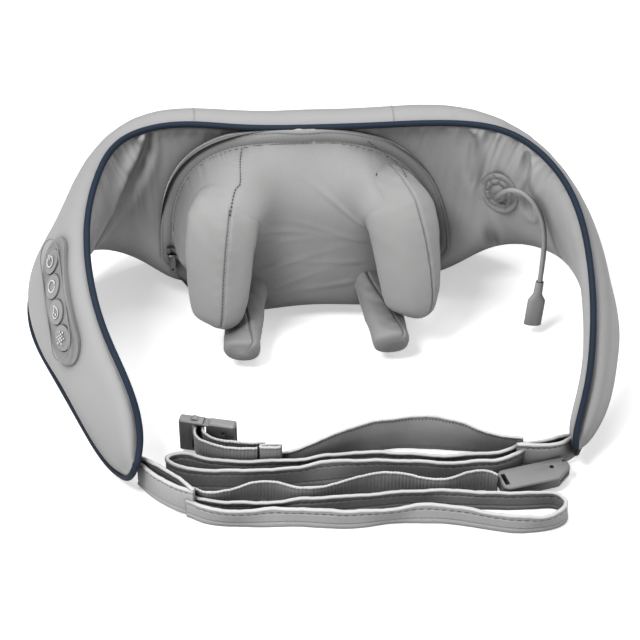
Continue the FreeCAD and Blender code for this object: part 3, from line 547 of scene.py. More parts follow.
def ordered_loop(points):
    """Walk from neighbour to neighbour round a closed cord."""
    left = list(range(len(points)))
    order = [left.pop(int(np.argmax(points[:, 1])))]
    heading = np.array([1.0, 0.0, 0.0])
    while left:
        here = points[order[-1]]
        gaps = points[left] - here
        distance = np.linalg.norm(gaps, axis=1)
        ahead = (gaps @ heading) / np.maximum(distance, 1e-9)
        cost = distance * (2.0 - ahead)
        pick = int(np.argmin(cost))
        if distance[pick] > 40 * MM:
            break
        if distance[pick] > 0.4 * MM:
            heading = gaps[pick] / distance[pick]
        order.append(left.pop(pick))
    return points[order]


class Collar:
    """The two seam lines of the collar and the directions between them."""

    def __init__(self, count):
        loop = ordered_loop(ring_centres("cover_piping", CORD_RADIUS))
        loop = smooth_line(resample(loop, 1200, True), 6, True)
        self.loop = loop
        x, y = loop[:, 0], loop[:, 1]
        left_tip = int(np.argmin(np.where(x < 0, y, 9.0)))
        right_tip = int(np.argmin(np.where(x > 0, y, 9.0)))
        if left_tip < right_tip:
            one = loop[left_tip:right_tip + 1]
            two = np.vstack([loop[right_tip:], loop[:left_tip + 1]])
        else:
            two = loop[right_tip:left_tip + 1]
            one = np.vstack([loop[left_tip:], loop[:right_tip + 1]])
        if two[0, 0] > two[-1, 0]:
            two = two[::-1]
        if one[0, 0] > one[-1, 0]:
            one = one[::-1]
        upper, lower = (one, two) if one[:, 2].mean() > two[:, 2].mean() else (two, one)
        self.top = resample(upper, count)
        self.bottom = resample(lower, count)
        middle = (self.top + self.bottom) / 2.0
        along = unit(np.gradient(middle, axis=0))
        self.length = np.linalg.norm(self.bottom - self.top, axis=1)
        self.down = unit(self.bottom - self.top)
        self.out = unit(np.cross(along, self.down))
        tip = count // 40
        for k in range(tip):
            self.out[k] = self.out[tip]
            self.out[-1 - k] = self.out[-1 - tip]


def far_surface(tree, start, direction, reach):
    """Distance to the far side of the thin skin that a ray meets, or None."""
    first = tree.ray_cast(start, direction, reach)
    if first[0] is None:
        return None
    beyond = first[0] + direction * (0.1 * MM)
    second = tree.ray_cast(beyond, direction, 4.0 * SKIN)
    hit = second[0] if second[0] is not None else first[0]
    return (hit - start).length


def fill_gaps(values, passes=400):
    """Fill holes of a grid of distances smoothly from their edges."""
    known = ~np.isnan(values)
    rows = np.arange(values.shape[0])
    filled = values.copy()
    for c in range(values.shape[1]):
        good = known[:, c]
        if good.sum() >= 2:
            filled[:, c] = np.interp(rows, rows[good], values[good, c])
    filled[np.isnan(filled)] = np.nanmedian(filled)
    for _ in range(passes):
        padded = np.pad(filled, 1, mode="edge")
        mean = (padded[:-2, 1:-1] + padded[2:, 1:-1] + padded[1:-1, :-2] + padded[1:-1, 2:]) / 4.0
        filled = np.where(known, filled, mean)
    return filled


def sheet_grid(collar, node, side, across):
    """Grid of points over one cover, from the upper seam to the lower seam."""
    tree = mesh_tree(nodes[node].data)
    count = len(collar.top)
    angles = np.linspace(0.0, math.pi, across)
    share = 0.5 - 0.44 * np.cos(angles)
    reach = np.full((count, across), np.nan)
    starts = np.zeros((count, across, 3))
    ways = np.zeros((count, across, 3))
    for i in range(count):
        origin = collar.top[i] + collar.down[i] * collar.length[i] * share[:, None]
        lean_out = np.sin(angles)[:, None] * collar.out[i] * side
        lean_down = 0.6 * np.cos(angles)[:, None] * collar.down[i]
        starts[i] = origin
        ways[i] = unit(lean_out - lean_down)
        for k in range(1, across - 1):
            distance = far_surface(tree, Vector(origin[k]), Vector(ways[i, k]), 0.12)
            if distance is not None:
                reach[i, k] = distance
    inner = fill_gaps(reach[:, 1:-1])
    taper = np.clip(np.minimum(np.arange(count), np.arange(count)[::-1]) / (count / 45.0), 0.0, 1.0)
    inner = inner * np.sqrt(taper)[:, None]
    grid = np.zeros((count, across, 3))
    grid[:, 1:-1] = starts[:, 1:-1] + ways[:, 1:-1] * inner[:, :, None]
    grid[:, 0] = collar.top
    grid[:, -1] = collar.bottom
    return grid


def smooth_grid(grid, passes):
    """Relax a grid's inside; its border stays."""
    g = grid.copy()
    for _ in range(passes):
        mean = (g[:-2, 1:-1] + g[2:, 1:-1] + g[1:-1, :-2] + g[1:-1, 2:]) / 4.0
        g[1:-1, 1:-1] = 0.5 * g[1:-1, 1:-1] + 0.5 * mean
    return g


def run_cloth(obj, pins):
    """Inflate and crumple a mesh a little with the cloth solver, then keep the shape."""
    before = get_points(obj)
    group = obj.vertex_groups.new(name="pins")
    for index, weight in enumerate(pins):
        if weight > 0.0:
            group.add([index], float(weight), "REPLACE")
    modifier = obj.modifiers.new("cloth", "CLOTH")
    settings = modifier.settings
    settings.quality = 6
    settings.mass = 0.25
    settings.tension_stiffness = 25.0
    settings.compression_stiffness = 25.0
    settings.shear_stiffness = 8.0
    settings.bending_stiffness = CLOTH_BENDING
    settings.tension_damping = 10.0
    settings.compression_damping = 10.0
    settings.air_damping = 3.0
    settings.vertex_group_mass = "pins"
    settings.pin_stiffness = 1.0
    settings.shrink_min = -CLOTH_GROWTH
    settings.use_pressure = True
    settings.uniform_pressure_force = CLOTH_PRESSURE
    settings.effector_weights.gravity = 0.0
    modifier.collision_settings.use_collision = False
    modifier.point_cache.frame_start = 1
    modifier.point_cache.frame_end = CLOTH_FRAMES
    scene = bpy.context.scene
    for number in range(1, CLOTH_FRAMES + 1):
        scene.frame_set(number)
    evaluated = obj.evaluated_get(bpy.context.evaluated_depsgraph_get())
    after = np.zeros(len(before) * 3)
    evaluated.data.vertices.foreach_get("co", after)
    obj.modifiers.remove(modifier)
    obj.vertex_groups.remove(group)
    scene.frame_set(1)
    move = after.reshape(-1, 3) - before
    size = np.linalg.norm(move, axis=1, keepdims=True)
    move *= np.minimum(1.0, CLOTH_REACH / np.maximum(size, 1e-9))
    set_points(obj, before + move)


def add_subdivision(obj):
    modifier = obj.modifiers.new("smooth", "SUBSURF")
    modifier.levels = 1
    modifier.render_levels = 1


def pucker(grid, depth, seed, corner_depth):
    """Small gathers square to the seams; deeper and longer ones at the two rear corners."""
    s = lengths(grid[:, 0])
    t = np.linspace(0.0, 1.0, grid.shape[1])
    wave = wavy(s / (4.2 * MM), seed, 4)
    strength = np.clip(0.55 + 0.45 * wavy(s / (60.0 * MM), seed + 5), 0.0, 1.0)
    near_top = np.exp(-((t - 0.10) / 0.08) ** 2)
    near_bottom = np.exp(-((t - 0.90) / 0.08) ** 2)
    amount = depth * (wave * strength)[:, None] * (near_top + near_bottom)[None, :]
    top = grid[:, 0]
    left = np.exp(-(np.linalg.norm(top - LEFT_CORNER, axis=1) / CORNER_REACH) ** 2)
    right = np.exp(-(np.linalg.norm(top - RIGHT_CORNER, axis=1) / CORNER_REACH) ** 2)
    skewed = s[:, None] / (7.0 * MM) + 2.2 * t[None, :] * np.sign(top[:, 0:1])
    folds = wavy(skewed, seed + 3, 4)
    fade = np.exp(-(t / 0.30) ** 2) * np.clip(t / 0.04, 0.0, 1.0)
    amount = amount + corner_depth * folds * (left + right)[:, None] * fade[None, :]
    return grid + grid_normals(grid) * amount[:, :, None]


def press_folds(grid):
    """Sink the lining along its deep folds and roll it up beside them."""
    normals = grid_normals(grid)
    towards = np.array([0.0, -0.15, 0.09]) - grid
    normals = normals * np.sign(np.sum(normals * towards, axis=2))[:, :, None]
    moved = grid.copy()
    for points, depth, width, roll in LINING_FOLDS:
        path = resample(smooth_line(resample(np.array(points, float) * MM, 40), 6), 60)
        gap = np.full(grid.shape[:2], 9.0)
        beside = np.zeros(grid.shape[:2])
        for k in range(len(path) - 1):
            away = np.linalg.norm(grid - path[k], axis=2)
            taper = math.sin(math.pi * min(max((k + 4.0) / 66.0, 0.0), 1.0)) ** 0.5
            reach = away / max(taper, 0.15)
            closer = reach < gap
            gap = np.where(closer, reach, gap)
            sideways = np.sign(path[0, 0]) * (grid[..., 0] - path[k, 0])
            side = sideways - 0.3 * (grid[..., 2] - path[k, 2])
            beside = np.where(closer, side, beside)
        valley = -depth * np.exp(-(gap / (width * MM)) ** 2)
        ridge = roll * np.exp(-((gap - 2.1 * width * MM) / (1.3 * width * MM)) ** 2)
        ridge = ridge * np.where(beside > 0, 1.0, 0.35)
        moved = moved + normals * (valley + ridge)[:, :, None] * MM * seam_fade(grid)
    return moved


def seam_fade(grid):
    """Nothing moves at the two seams."""
    t = np.linspace(0.0, 1.0, grid.shape[1])
    return (np.clip(t / 0.05, 0.0, 1.0) * np.clip((1.0 - t) / 0.05, 0.0, 1.0))[None, :, None]


def puff(outer, inner):
    """Sew the two covers into one bag along their seams and inflate it a little."""
    count, across = outer.shape[:2]
    inside = inner[:, 1:-1]
    verts = np.concatenate([outer.reshape(-1, 3), inside.reshape(-1, 3)])
    faces = [face[::-1] for face in grid_faces(count, across)]
    base = count * across

    def place(i, k):
        if k == 0 or k == across - 1:
            return i * across + k
        return base + i * (across - 2) + k - 1

    for i in range(count - 1):
        for k in range(across - 1):
            faces.append((place(i, k), place(i, k + 1), place(i + 1, k + 1), place(i + 1, k)))
    bag = make_object("collar_bag", verts, faces, MATERIALS["cover"])
    pins = np.zeros(len(verts))
    held = pins[:base].reshape(count, across)
    held[:, 0] = held[:, -1] = 1.0
    held[:4] = held[-4:] = 1.0
    low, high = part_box("keypad_plate")
    middle = np.array((low + high) / 2.0)
    reach = np.linalg.norm(np.array(high - low)) / 2.0 + 4.0 * MM
    pins[np.linalg.norm(verts - middle, axis=1) < reach] = 1.0
    low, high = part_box("charge_grommet")
    middle = np.array((low + high) / 2.0)
    pins[np.linalg.norm(verts - middle, axis=1) < 20.0 * MM] = 1.0
    behind_hood = np.abs(inside.reshape(-1, 3)[:, 0]) < 118.0 * MM
    pins[base + np.nonzero(behind_hood)[0]] = 0.85
    pins[verts[:, 2] < 9.0 * MM] = 1.0
    run_cloth(bag, pins)
    moved = get_points(bag)
    bpy.data.objects.remove(bag)
    new_outer = moved[:base].reshape(count, across, 3)
    new_inner = inner.copy()
    new_inner[:, 1:-1] = moved[base:].reshape(count, across - 2, 3)
    new_inner[:, 0] = new_outer[:, 0]
    new_inner[:, -1] = new_outer[:, -1]
    return new_outer, new_inner


def build_collar():
    collar = Collar(COLLAR_ROWS)
    outer = smooth_grid(sheet_grid(collar, "outer_cover", 1.0, COLLAR_ACROSS), 6)
    inner = smooth_grid(sheet_grid(collar, "inner_cover", -1.0, COLLAR_ACROSS), 6)
    outer = pucker(outer, 0.25 * MM, 3, 0.5 * MM)
    inner = press_folds(pucker(inner, 1.1 * MM, 8, 2.6 * MM))
    outer, inner = puff(outer, inner)
    pieces = []
    for name, grid, material, slot, node in (
            ("outer_cover_panel", outer, "cover", "cover_fabric", "outer_cover"),
            ("inner_cover_panel", inner, "lining", "lining_fabric", "inner_cover")):
        faces = grid_faces(*grid.shape[:2])
        if name.startswith("outer"):
            faces = [face[::-1] for face in faces]
        obj = make_object(name, grid.reshape(-1, 3), faces, MATERIALS[material], grid_uv(grid))
        add_subdivision(obj)
        finish_piece(obj, "root", slot, node)
        pieces.append(obj)
    build_panel_seams(outer)
    return collar, pieces


def build_panel_seams(outer):
    """Two short seams across the top of the outer cover."""
    half = outer.shape[1] // 2
    for number, x in enumerate(PANEL_SEAM_X):
        row = int(np.argmin(np.abs(outer[:, 0, 0] - x) + (outer[:, 0, 1] < -0.1)))
        line = outer[row, :half] + np.array([0.0, 0.0, -0.25 * MM])
        obj = tube_along("panel_seam_%d" % (number + 1), line, 0.6 * MM, MATERIALS["cover"], False, 8)
        finish_piece(obj, "root", "cover_fabric")


def tube_along(name, line, radius, material, closed=False, sides=12):
    """Round tube mesh along a line of points."""
    pts = np.asarray(line, float)
    if closed:
        along = unit(np.roll(pts, -1, axis=0) - np.roll(pts, 1, axis=0))
    else:
        along = unit(np.gradient(pts, axis=0))
    up = np.array([0.0, 0.0, 1.0])
    side = unit(np.cross(along, up))
    other = np.cross(side, along)
    angle = np.linspace(0.0, 2.0 * math.pi, sides, endpoint=False)
    radii = np.broadcast_to(np.asarray(radius, float), (len(pts),))
    cos, sin = np.cos(angle)[None, :, None], np.sin(angle)[None, :, None]
    ring = side[:, None, :] * cos + other[:, None, :] * sin
    grid = pts[:, None, :] + ring * radii[:, None, None]
    rows = len(pts)
    faces = grid_faces(rows, sides, True)
    if closed:
        faces += [((rows - 1) * sides + c, (rows - 1) * sides + (c + 1) % sides, (c + 1) % sides, c)
                  for c in range(sides)]
    else:
        faces += [tuple(range(sides))[::-1], tuple((rows - 1) * sides + c for c in range(sides))]
    return make_object(name, grid.reshape(-1, 3), faces, material, grid_uv(grid))


def build_piping(collar):
    line = resample(collar.loop, 900, True)
    obj = tube_along("piping_cord", line, SHOWN_CORD_RADIUS, MATERIALS["piping"], True, 16)
    finish_piece(obj, "root", "piping_cord", "cover_piping")


# ---- fingers -----------------------------------------------------------------------------

class Finger:
    """Middle line, frame and size of one massage finger, measured on its sleeve node."""

    ROWS = 90

    def __init__(self, node, side, upper):
        self.node = node
        self.side = side
        self.upper = upper
        self.crossing = 0
        points = node_points(node)
        if upper:
            pivot = joint_origin(side + "_claw_wobble")
            hub = np.array([pivot[1] - 26.0 * MM, pivot[2]])
            yz = points[:, 1:] - hub
            key = np.arctan2(yz[:, 1], -yz[:, 0])
            key = -np.where(key > 2.6, key - 2.0 * math.pi, key)
        else:
            key = -points[:, 1]
        bins = np.linspace(key.min(), key.max(), 15)
        line = []
        for low, high in zip(bins[:-1], bins[1:]):
            part = points[(key >= low) & (key <= high)]
            if len(part) > 8:
                line.append((part.min(axis=0) + part.max(axis=0)) / 2.0)
        line = smooth_line(np.array(line), 3)
        line = resample(line, 60)
        start_way = unit(line[0] - line[6])
        tip_way = unit(line[-1] - line[-8])
        tip_more = 11.0 * MM if upper else 9.0 * MM
        line = np.vstack([line[0] + start_way * 5.0 * MM, line, line[-1] + tip_way * tip_more])
        self.line = smooth_line(resample(line, self.ROWS), 8)
        self.along = unit(np.gradient(self.line, axis=0))
        across = np.array([1.0, 0.0, 0.0])
        self.front = unit(np.cross(across, self.along))
        if self.front[:, 2].mean() < 0:
            self.front = -self.front
        self.across = unit(np.cross(self.along, self.front))
        if self.across[:, 0].mean() < 0:
            self.across = -self.across
        self.measure()

    def measure(self):
        tree = mesh_tree(nodes[self.node].data)
        half_width = []
        half_depth = []
        for centre, across, front in zip(self.line, self.across, self.front):
            for vector, out in ((across, half_width), (front, half_depth)):
                one = far_surface(tree, Vector(centre), Vector(vector), 0.06)
                two = far_surface(tree, Vector(centre), Vector(-vector), 0.06)
                good = [value for value in (one, two) if value is not None]
                out.append(np.mean(good) if good else np.nan)
        self.half_width = smooth_line(fill_line(np.array(half_width)), 10)
        self.half_depth = smooth_line(fill_line(np.array(half_depth)), 10)
        if not self.upper:
            last = int(self.ROWS * 0.45)
            self.half_width[last:] = np.maximum(self.half_width[last:], self.half_width[last] * 0.97)
            self.half_depth[last:] = np.maximum(self.half_depth[last:], self.half_depth[last] * 0.92)


def seam_angles(count):
    """Angles round a sleeve, measured from its seam and crowded close to it."""
    t = np.linspace(-1.0, 1.0, count, endpoint=False) + 1.0 / count
    return math.pi * (0.22 * t + 0.78 * t ** 3)


def sleeve_grid(finger, around=84):
    """Sections of a sleeve and its seam: fuller inside, ridged outside, with a blunt tip."""
    rows = len(finger.line)
    step = np.linalg.norm(np.diff(finger.line, axis=0), axis=1).mean()
    length = step * (rows - 1)
    s = np.linspace(0.0, length, rows)
    offsets = seam_angles(around)
    tip_length = 15.0 * MM if finger.upper else 8.0 * MM
    closing = np.clip((s - (length - tip_length)) / tip_length, 0.0, 1.0)
    shrink = np.power(np.clip(1.0 - np.power(closing, 3.6), 0.0, 1.0), 0.45)
    wander = SEAM_WANDER[(finger.side, finger.upper)]
    travel = s / length
    seam_at = math.pi / 2.0 - (wander[0] + (wander[1] - wander[0]) * travel ** 1.5)
    seed = 11 + len(finger.node)
    grid = np.zeros((rows, around, 3))
    seam = np.zeros((rows, 3))
    for i in range(rows):
        angle = seam_at[i] + offsets
        c, n = np.cos(angle), np.sin(angle)
        blend = 0.5 + 0.5 * np.clip(n * 2.0, -1.0, 1.0)
        power = 2.5 + ((OUTER_POWER if finger.upper else 2.3) - 2.5) * blend
        reach = np.power(np.abs(c) ** power + np.abs(n) ** power, -1.0 / power)
        width = finger.half_width[i] * shrink[i]
        depth = finger.half_depth[i] * shrink[i]
        x = reach * c * width
        y = reach * n * depth
        gap = np.abs(offsets) * (width + depth) / 2.0
        ridge = 1.3 * MM * np.exp(-(gap / (6.0 * MM)) ** 2)
        ridge -= 1.5 * MM * np.exp(-(gap / (0.9 * MM)) ** 2)
        pucker_wave = wavy(s[i] / (3.2 * MM) + np.sign(offsets) * 0.9, seed, 3)
        ridge += 0.28 * MM * pucker_wave * np.exp(-((gap - 3.0 * MM) / (3.0 * MM)) ** 2)
        slack = 0.9 * MM * wavy(s[i] / (17.0 * MM) + offsets * 1.3, seed + 2, 3)
        ridge = (ridge + slack * np.exp(-s[i] / (90.0 * MM))) * shrink[i]
        scale = 1.0 + ridge / np.maximum(np.hypot(x, y), 1.0 * MM)
        skew = TIP_SKEW * closing[i] * x / max(finger.half_width[i], 1e-6)
        if not finger.upper:
            skew = skew * 0.3
        centre = finger.line[i][None, :] + finger.along[i][None, :] * skew[:, None]
        grid[i] = (centre + finger.across[i][None, :] * (x * scale)[:, None]
                   + finger.front[i][None, :] * (y * scale)[:, None])
        nearest = int(np.argmin(np.abs(offsets)))
        seam[i] = grid[i, nearest]
    return grid, seam


def stitch_row(name, line, normals, length, gap, radius, material, body, slot, sink=0.0):
    """A row of small thread capsules lying along a line."""
    s = lengths(line)
    count = int(s[-1] / (length + gap))
    verts = []
    faces = []
    ring = 6
    for k in range(count):
        a = (k + 0.2) * (length + gap)
        stations = [a, a + 0.15 * length, a + 0.85 * length, a + length]
        swell = [0.35, 1.0, 1.0, 0.35]
        base = len(verts)
        for t, grow in zip(stations, swell):
            centre = points_at(t, s, line)
            up = unit(points_at(t, s, normals))
            ahead = points_at(t + 0.5 * MM, s, line) - centre
            if np.linalg.norm(ahead) < 1e-9:
                ahead = line[-1] - line[-2]
            side = unit(np.cross(ahead, up))
            centre = centre + up * (radius * 0.2 - sink - (0.4 * radius if grow < 1.0 else 0.0))
            for j in range(ring):
                turn = 2.0 * math.pi * j / ring
                spoke = side * math.cos(turn) * 1.2 + up * math.sin(turn)
                verts.append(centre + spoke * radius * grow)
        for r in range(3):
            for j in range(ring):
                n = (j + 1) % ring
                faces.append((base + r * ring + j, base + r * ring + n,
                              base + (r + 1) * ring + n, base + (r + 1) * ring + j))
        faces.append(tuple(base + j for j in range(ring))[::-1])
        faces.append(tuple(base + 3 * ring + j for j in range(ring)))
    obj = make_object(name, verts, faces, MATERIALS[material], np.zeros((len(verts), 2)))
    finish_piece(obj, body, slot)


def build_fingers():
    fingers = {}
    for side in ("left", "right"):
        for upper in (True, False):
            node = side + ("_upper_sleeve" if upper else "_lower_sleeve")
            finger = Finger(node, side, upper)
            grid, seam = sleeve_grid(finger)
            finger.seam = seam
            shown = sunk_root(finger, grid) if upper else grid
            faces = grid_faces(grid.shape[0], grid.shape[1], True)
            last = (grid.shape[0] - 1) * grid.shape[1]
            faces.append(tuple(last + k for k in range(grid.shape[1])))
            obj = make_object(node + "_cover", shown.reshape(-1, 3), faces, MATERIALS["sleeve"],
                              grid_uv(grid))
            if normals_point_in(obj, finger.line):
                obj.data.flip_normals()
            stood_for = [node, side + "_finger_pads"] if upper else [node]
            finish_piece(obj, side + "_claw", "sleeve_fabric", *stood_for)
            seam_normals = unit(seam - finger.line)
            first = max(12, finger.crossing)
            stitch_row(node + "_seam", seam[first:-2], seam_normals[first:-2], 2.2 * MM, 1.1 * MM,
                       0.38 * MM, "thread", side + "_claw", "sleeve_fabric", 0.3 * MM)
            fingers[(side, upper)] = (finger, grid)
    return fingers


def sunk_root(finger, grid):
    """Thin the hidden part of a sleeve so that it stays under the hood up to its shoulder."""
    heights = finger.line[:, 2]
    peak = int(np.argmax(heights))
    after = np.nonzero(heights[peak:] < heights[peak] - SHOULDER_DROP)[0]
    finger.crossing = peak + int(after[0])
    rows = np.arange(len(heights))
    blend = np.clip((rows - finger.crossing + 10) / 10.0, 0.0, 1.0)
    radius = np.linalg.norm(grid - finger.line[:, None, :], axis=2, keepdims=True)
    sink = (1.0 - blend)[:, None, None] * SHOULDER_SINK
    sunk = 1.0 - sink / np.maximum(radius, SHOULDER_SINK * 2.0)
    return finger.line[:, None, :] + (grid - finger.line[:, None, :]) * sunk


def normals_point_in(obj, line):
    """True when the faces of a closed sleeve point at its middle line."""
    score = 0.0
    for polygon in list(obj.data.polygons)[::97]:
        centre = np.array(polygon.center)
        nearest = line[int(np.argmin(np.linalg.norm(line - centre, axis=1)))]
        score += float(np.dot(np.array(polygon.normal), centre - nearest))
    return score < 0.0


# ---- hood --------------------------------------------------------------------------------

def hood_outline(low, high):
    """D outline, squarer at its upper left than at its upper right."""
    middle = (low[0] + high[0]) / 2.0
    half = (high[0] - low[0]) / 2.0
    spring = low[2] + HOOD_SPRING
    rise = high[2] + 3.0 * MM - spring
    points = [(middle - half * HOOD_FOOT_SHARE, low[2])]
    for degrees in np.linspace(180.0, 0.0, 73):
        c, n = math.cos(math.radians(degrees)), math.sin(math.radians(degrees))
        power = 3.0 if c < 0 else 2.35
        x = math.copysign(abs(c) ** (2.0 / power), c) * half
        z = max(n, 0.0) ** (2.0 / power) * rise
        points.append((middle + x, spring + z))
    points.append((middle + half * HOOD_FOOT_SHARE, low[2]))
    return np.array(points)[::-1]


def neighbour_mean(h):
    return (np.roll(h, 1, 0) + np.roll(h, -1, 0) + np.roll(h, 1, 1) + np.roll(h, -1, 1)) / 4.0


class Hood:
    """Stretch cover over the front of the pod, drawn forward by the roots of the fingers."""

    STEP = 1.3 * MM

    def __init__(self, fingers, lining):
        points = np.vstack([node_points("massage_hood"), node_points("hood_zip")])
        low, high = points.min(axis=0), points.max(axis=0)
        self.outline = resample(hood_outline(low, high), 460, True)
        self.middle = np.array([self.outline[:, 0].mean(), HOOD_MIDDLE_HEIGHT])
        self.low = self.outline.min(axis=0) - 4.0 * MM
        self.high = self.outline.max(axis=0) + 4.0 * MM
        self.xs = np.arange(self.low[0], self.high[0], self.STEP)
        self.zs = np.arange(self.low[1], self.high[1], self.STEP)
        self.fit_plane(points)
        self.solve(fingers)
        self.hug(lining)

    def hug(self, lining):
        """How far the lining stands from the hood's own sheet all round the outline."""
        tree = mesh_tree(lining.data)
        gaps = []
        for x, z in self.outline:
            hit = tree.ray_cast(Vector((x, -0.30, z)), Vector((0.0, 1.0, 0.0)))[0]
            gaps.append(hit.y - self.base_depth(z) if hit is not None else np.nan)
        gaps = np.clip(fill_line(np.array(gaps)), -30.0 * MM, 12.0 * MM)
        self.gaps = smooth_line(gaps, 12, True) - 2.2 * MM

    def fit_plane(self, points):
        """Depth of the hood's own sheet as a function of height."""
        heights = np.linspace(self.low[1] + 6.0 * MM, self.high[1] - 8.0 * MM, 12)
        depths = []
        for z in heights:
            near = points[np.abs(points[:, 2] - z) < 9.0 * MM]
            depths.append(near[:, 1].min() if len(near) else np.nan)
        depths = np.array(depths)
        good = ~np.isnan(depths)
        self.plane = np.polyfit(heights[good], depths[good], 2)

    def base_depth(self, z):
        return np.polyval(self.plane, z)

    def inside(self, x, z):
        """Signed distance to the outline, positive inside."""
        a = self.outline
        b = np.roll(a, -1, axis=0)
        edge = b - a
        normal = unit(np.stack([-edge[:, 1], edge[:, 0]], axis=1))
        distance = (x[..., None] - a[:, 0]) * normal[:, 0] + (z[..., None] - a[:, 1]) * normal[:, 1]
        return distance.min(axis=-1)

    def solve(self, fingers):
        """Height of the stretched sheet over its base: a soap film laid over the fingers."""
        xx, zz = np.meshgrid(self.xs, self.zs, indexing="ij")
        depth = self.inside(xx, zz)
        inner = depth > np.where(zz > self.low[1] + 20.0 * MM, BAND_CLEAR, 0.0)
        floor = np.zeros_like(xx)
        for (side, upper), (finger, grid) in fingers.items():
            limit = HOOD_REACH_UPPER if upper else HOOD_REACH_LOWER
            for i in range(len(finger.line)):
                centre = finger.line[i]
                rise = self.base_depth(centre[2]) - centre[1]
                if rise > limit + 14.0 * MM:
                    break
                for share in (0.0, 0.3, 0.6, 0.85, 0.95, 1.0):
                    ring = centre + (grid[i] - centre) * share
                    height = self.base_depth(ring[:, 2]) - ring[:, 1]
                    top = limit
                    if upper:
                        top = limit - HOOD_DIVE * np.clip(SHOULDER_HEIGHT - ring[:, 2], 0.0, 1.0)
                    height = np.clip(height, 0.0, np.maximum(top, HOOD_LEAST))
                    ix = np.round((ring[:, 0] - self.xs[0]) / self.STEP).astype(int)
                    iz = np.round((ring[:, 2] - self.zs[0]) / self.STEP).astype(int)
                    ok = (ix > 0) & (iz > 0) & (ix < len(self.xs) - 1) & (iz < len(self.zs) - 1)
                    np.maximum.at(floor, (ix[ok], iz[ok]), height[ok])
        for _ in range(2):
            spread = floor.copy()
            for dx, dz in ((1, 0), (-1, 0), (0, 1), (0, -1)):
                spread = np.maximum(spread, np.roll(floor, (dx, dz), axis=(0, 1)) * 0.985)
            floor = np.where(inner, spread, 0.0)
        h = floor.copy()
        free = np.nonzero(np.abs(xx[:, 0]) < HOOD_FREE_HALF)[0]
        first = np.argmax(inner, axis=1)
        for _ in range(3600):
            h = np.where(inner, np.maximum(neighbour_mean(h), floor), 0.0)
            for column in free:
                h[column, :first[column]] = h[column, first[column]]
        for _ in range(30):
            h = np.where(inner, 0.4 * h + 0.6 * neighbour_mean(h), h)
        self.height = h

    def sample(self, x, z):
        fx = np.clip((x - self.xs[0]) / self.STEP, 0, len(self.xs) - 1.001)
        fz = np.clip((z - self.zs[0]) / self.STEP, 0, len(self.zs) - 1.001)
        ix, iz = fx.astype(int), fz.astype(int)
        tx, tz = fx - ix, fz - iz
        h = self.height
        return ((h[ix, iz] * (1 - tx) + h[ix + 1, iz] * tx) * (1 - tz)
                + (h[ix, iz + 1] * (1 - tx) + h[ix + 1, iz + 1] * tx) * tz)

    def point(self, x, z, lift=0.0, hug=0.0):
        y = self.base_depth(z) - self.sample(x, z) - lift + hug
        return np.stack([x, y, z], axis=-1)


def build_hood(fingers, lining):
    """The stretched sheet in rings round its middle, with its border tucked back."""
    hood = Hood(fingers, lining)
    share = np.linspace(1.0, 0.0, 150)[:, None, None]
    flat = hood.middle + (hood.outline[None, :, :] - hood.middle) * share
    x, z = flat[..., 0], flat[..., 1]
    hug = hood.gaps[None, :] * share[:, :, 0] ** 8
    points = hood.point(x, z, 0.6 * MM, hug)
    points[..., 1] -= hood_wrinkles(x, z)
    tuck = points[0].copy()
    low = tuck[:, 2] < hood.low[1] + 9.0 * MM
    tuck[:, 1] = hood.base_depth(tuck[:, 2]) + 3.0 * MM
    tuck[low, 2] -= 2.0 * MM
    grid = np.concatenate([tuck[None, :, :], points], axis=0)
    faces = grid_faces(grid.shape[0], grid.shape[1], True)
    uv = np.stack([grid[..., 0].ravel(), grid[..., 2].ravel()], axis=1)
    obj = make_object("hood_membrane", grid.reshape(-1, 3), faces, MATERIALS["hood"], uv)
    if obj.data.polygons[len(faces) // 2].normal.y > 0:
        obj.data.flip_normals()
    finish_piece(obj, "root", "hood_fabric", "massage_hood")
    build_band(hood)
    build_shoulder_seams(hood, fingers)


def build_shoulder_seams(hood, fingers):
    """Stitches that carry each upper finger's seam over its shoulder and up to the band."""
    for side, start_x in SHOULDER_SEAM_X:
        finger = fingers[(side, True)][0]
        seam = finger.seam
        peak = int(np.argmax(seam[:, 2]))
        stop = finger.crossing + 2
        first = np.array([start_x, 0.0, hood.high[1] - 15.0 * MM])
        flat = np.vstack([first[None, :], seam[peak - 4:stop]])
        flat = smooth_line(resample(flat, 90), 60)
        line = hood.point(flat[:, 0], flat[:, 2], 0.9 * MM)
        nearest = [int(np.argmin(np.abs(seam[peak:, 2] - z))) + peak for z in flat[:, 2]]
        on_finger = seam[nearest]
        lower = np.clip((flat[0, 2] - flat[:, 2]) / (18.0 * MM), 0.0, 1.0)[:, None]
        outer = on_finger + unit(on_finger - finger.line[stop]) * 0.4 * MM
        line = np.where(line[:, 1:2] < outer[:, 1:2], line, line * (1.0 - lower) + outer * lower)
        line = smooth_line(line, 80)
        up = np.tile(unit(np.array([0.0, -0.8, 0.6])), (len(line), 1))
        stitch_row(side + "_shoulder_seam", line, up, 2.2 * MM, 1.1 * MM, 0.34 * MM,
                   "thread", "root", "hood_fabric")


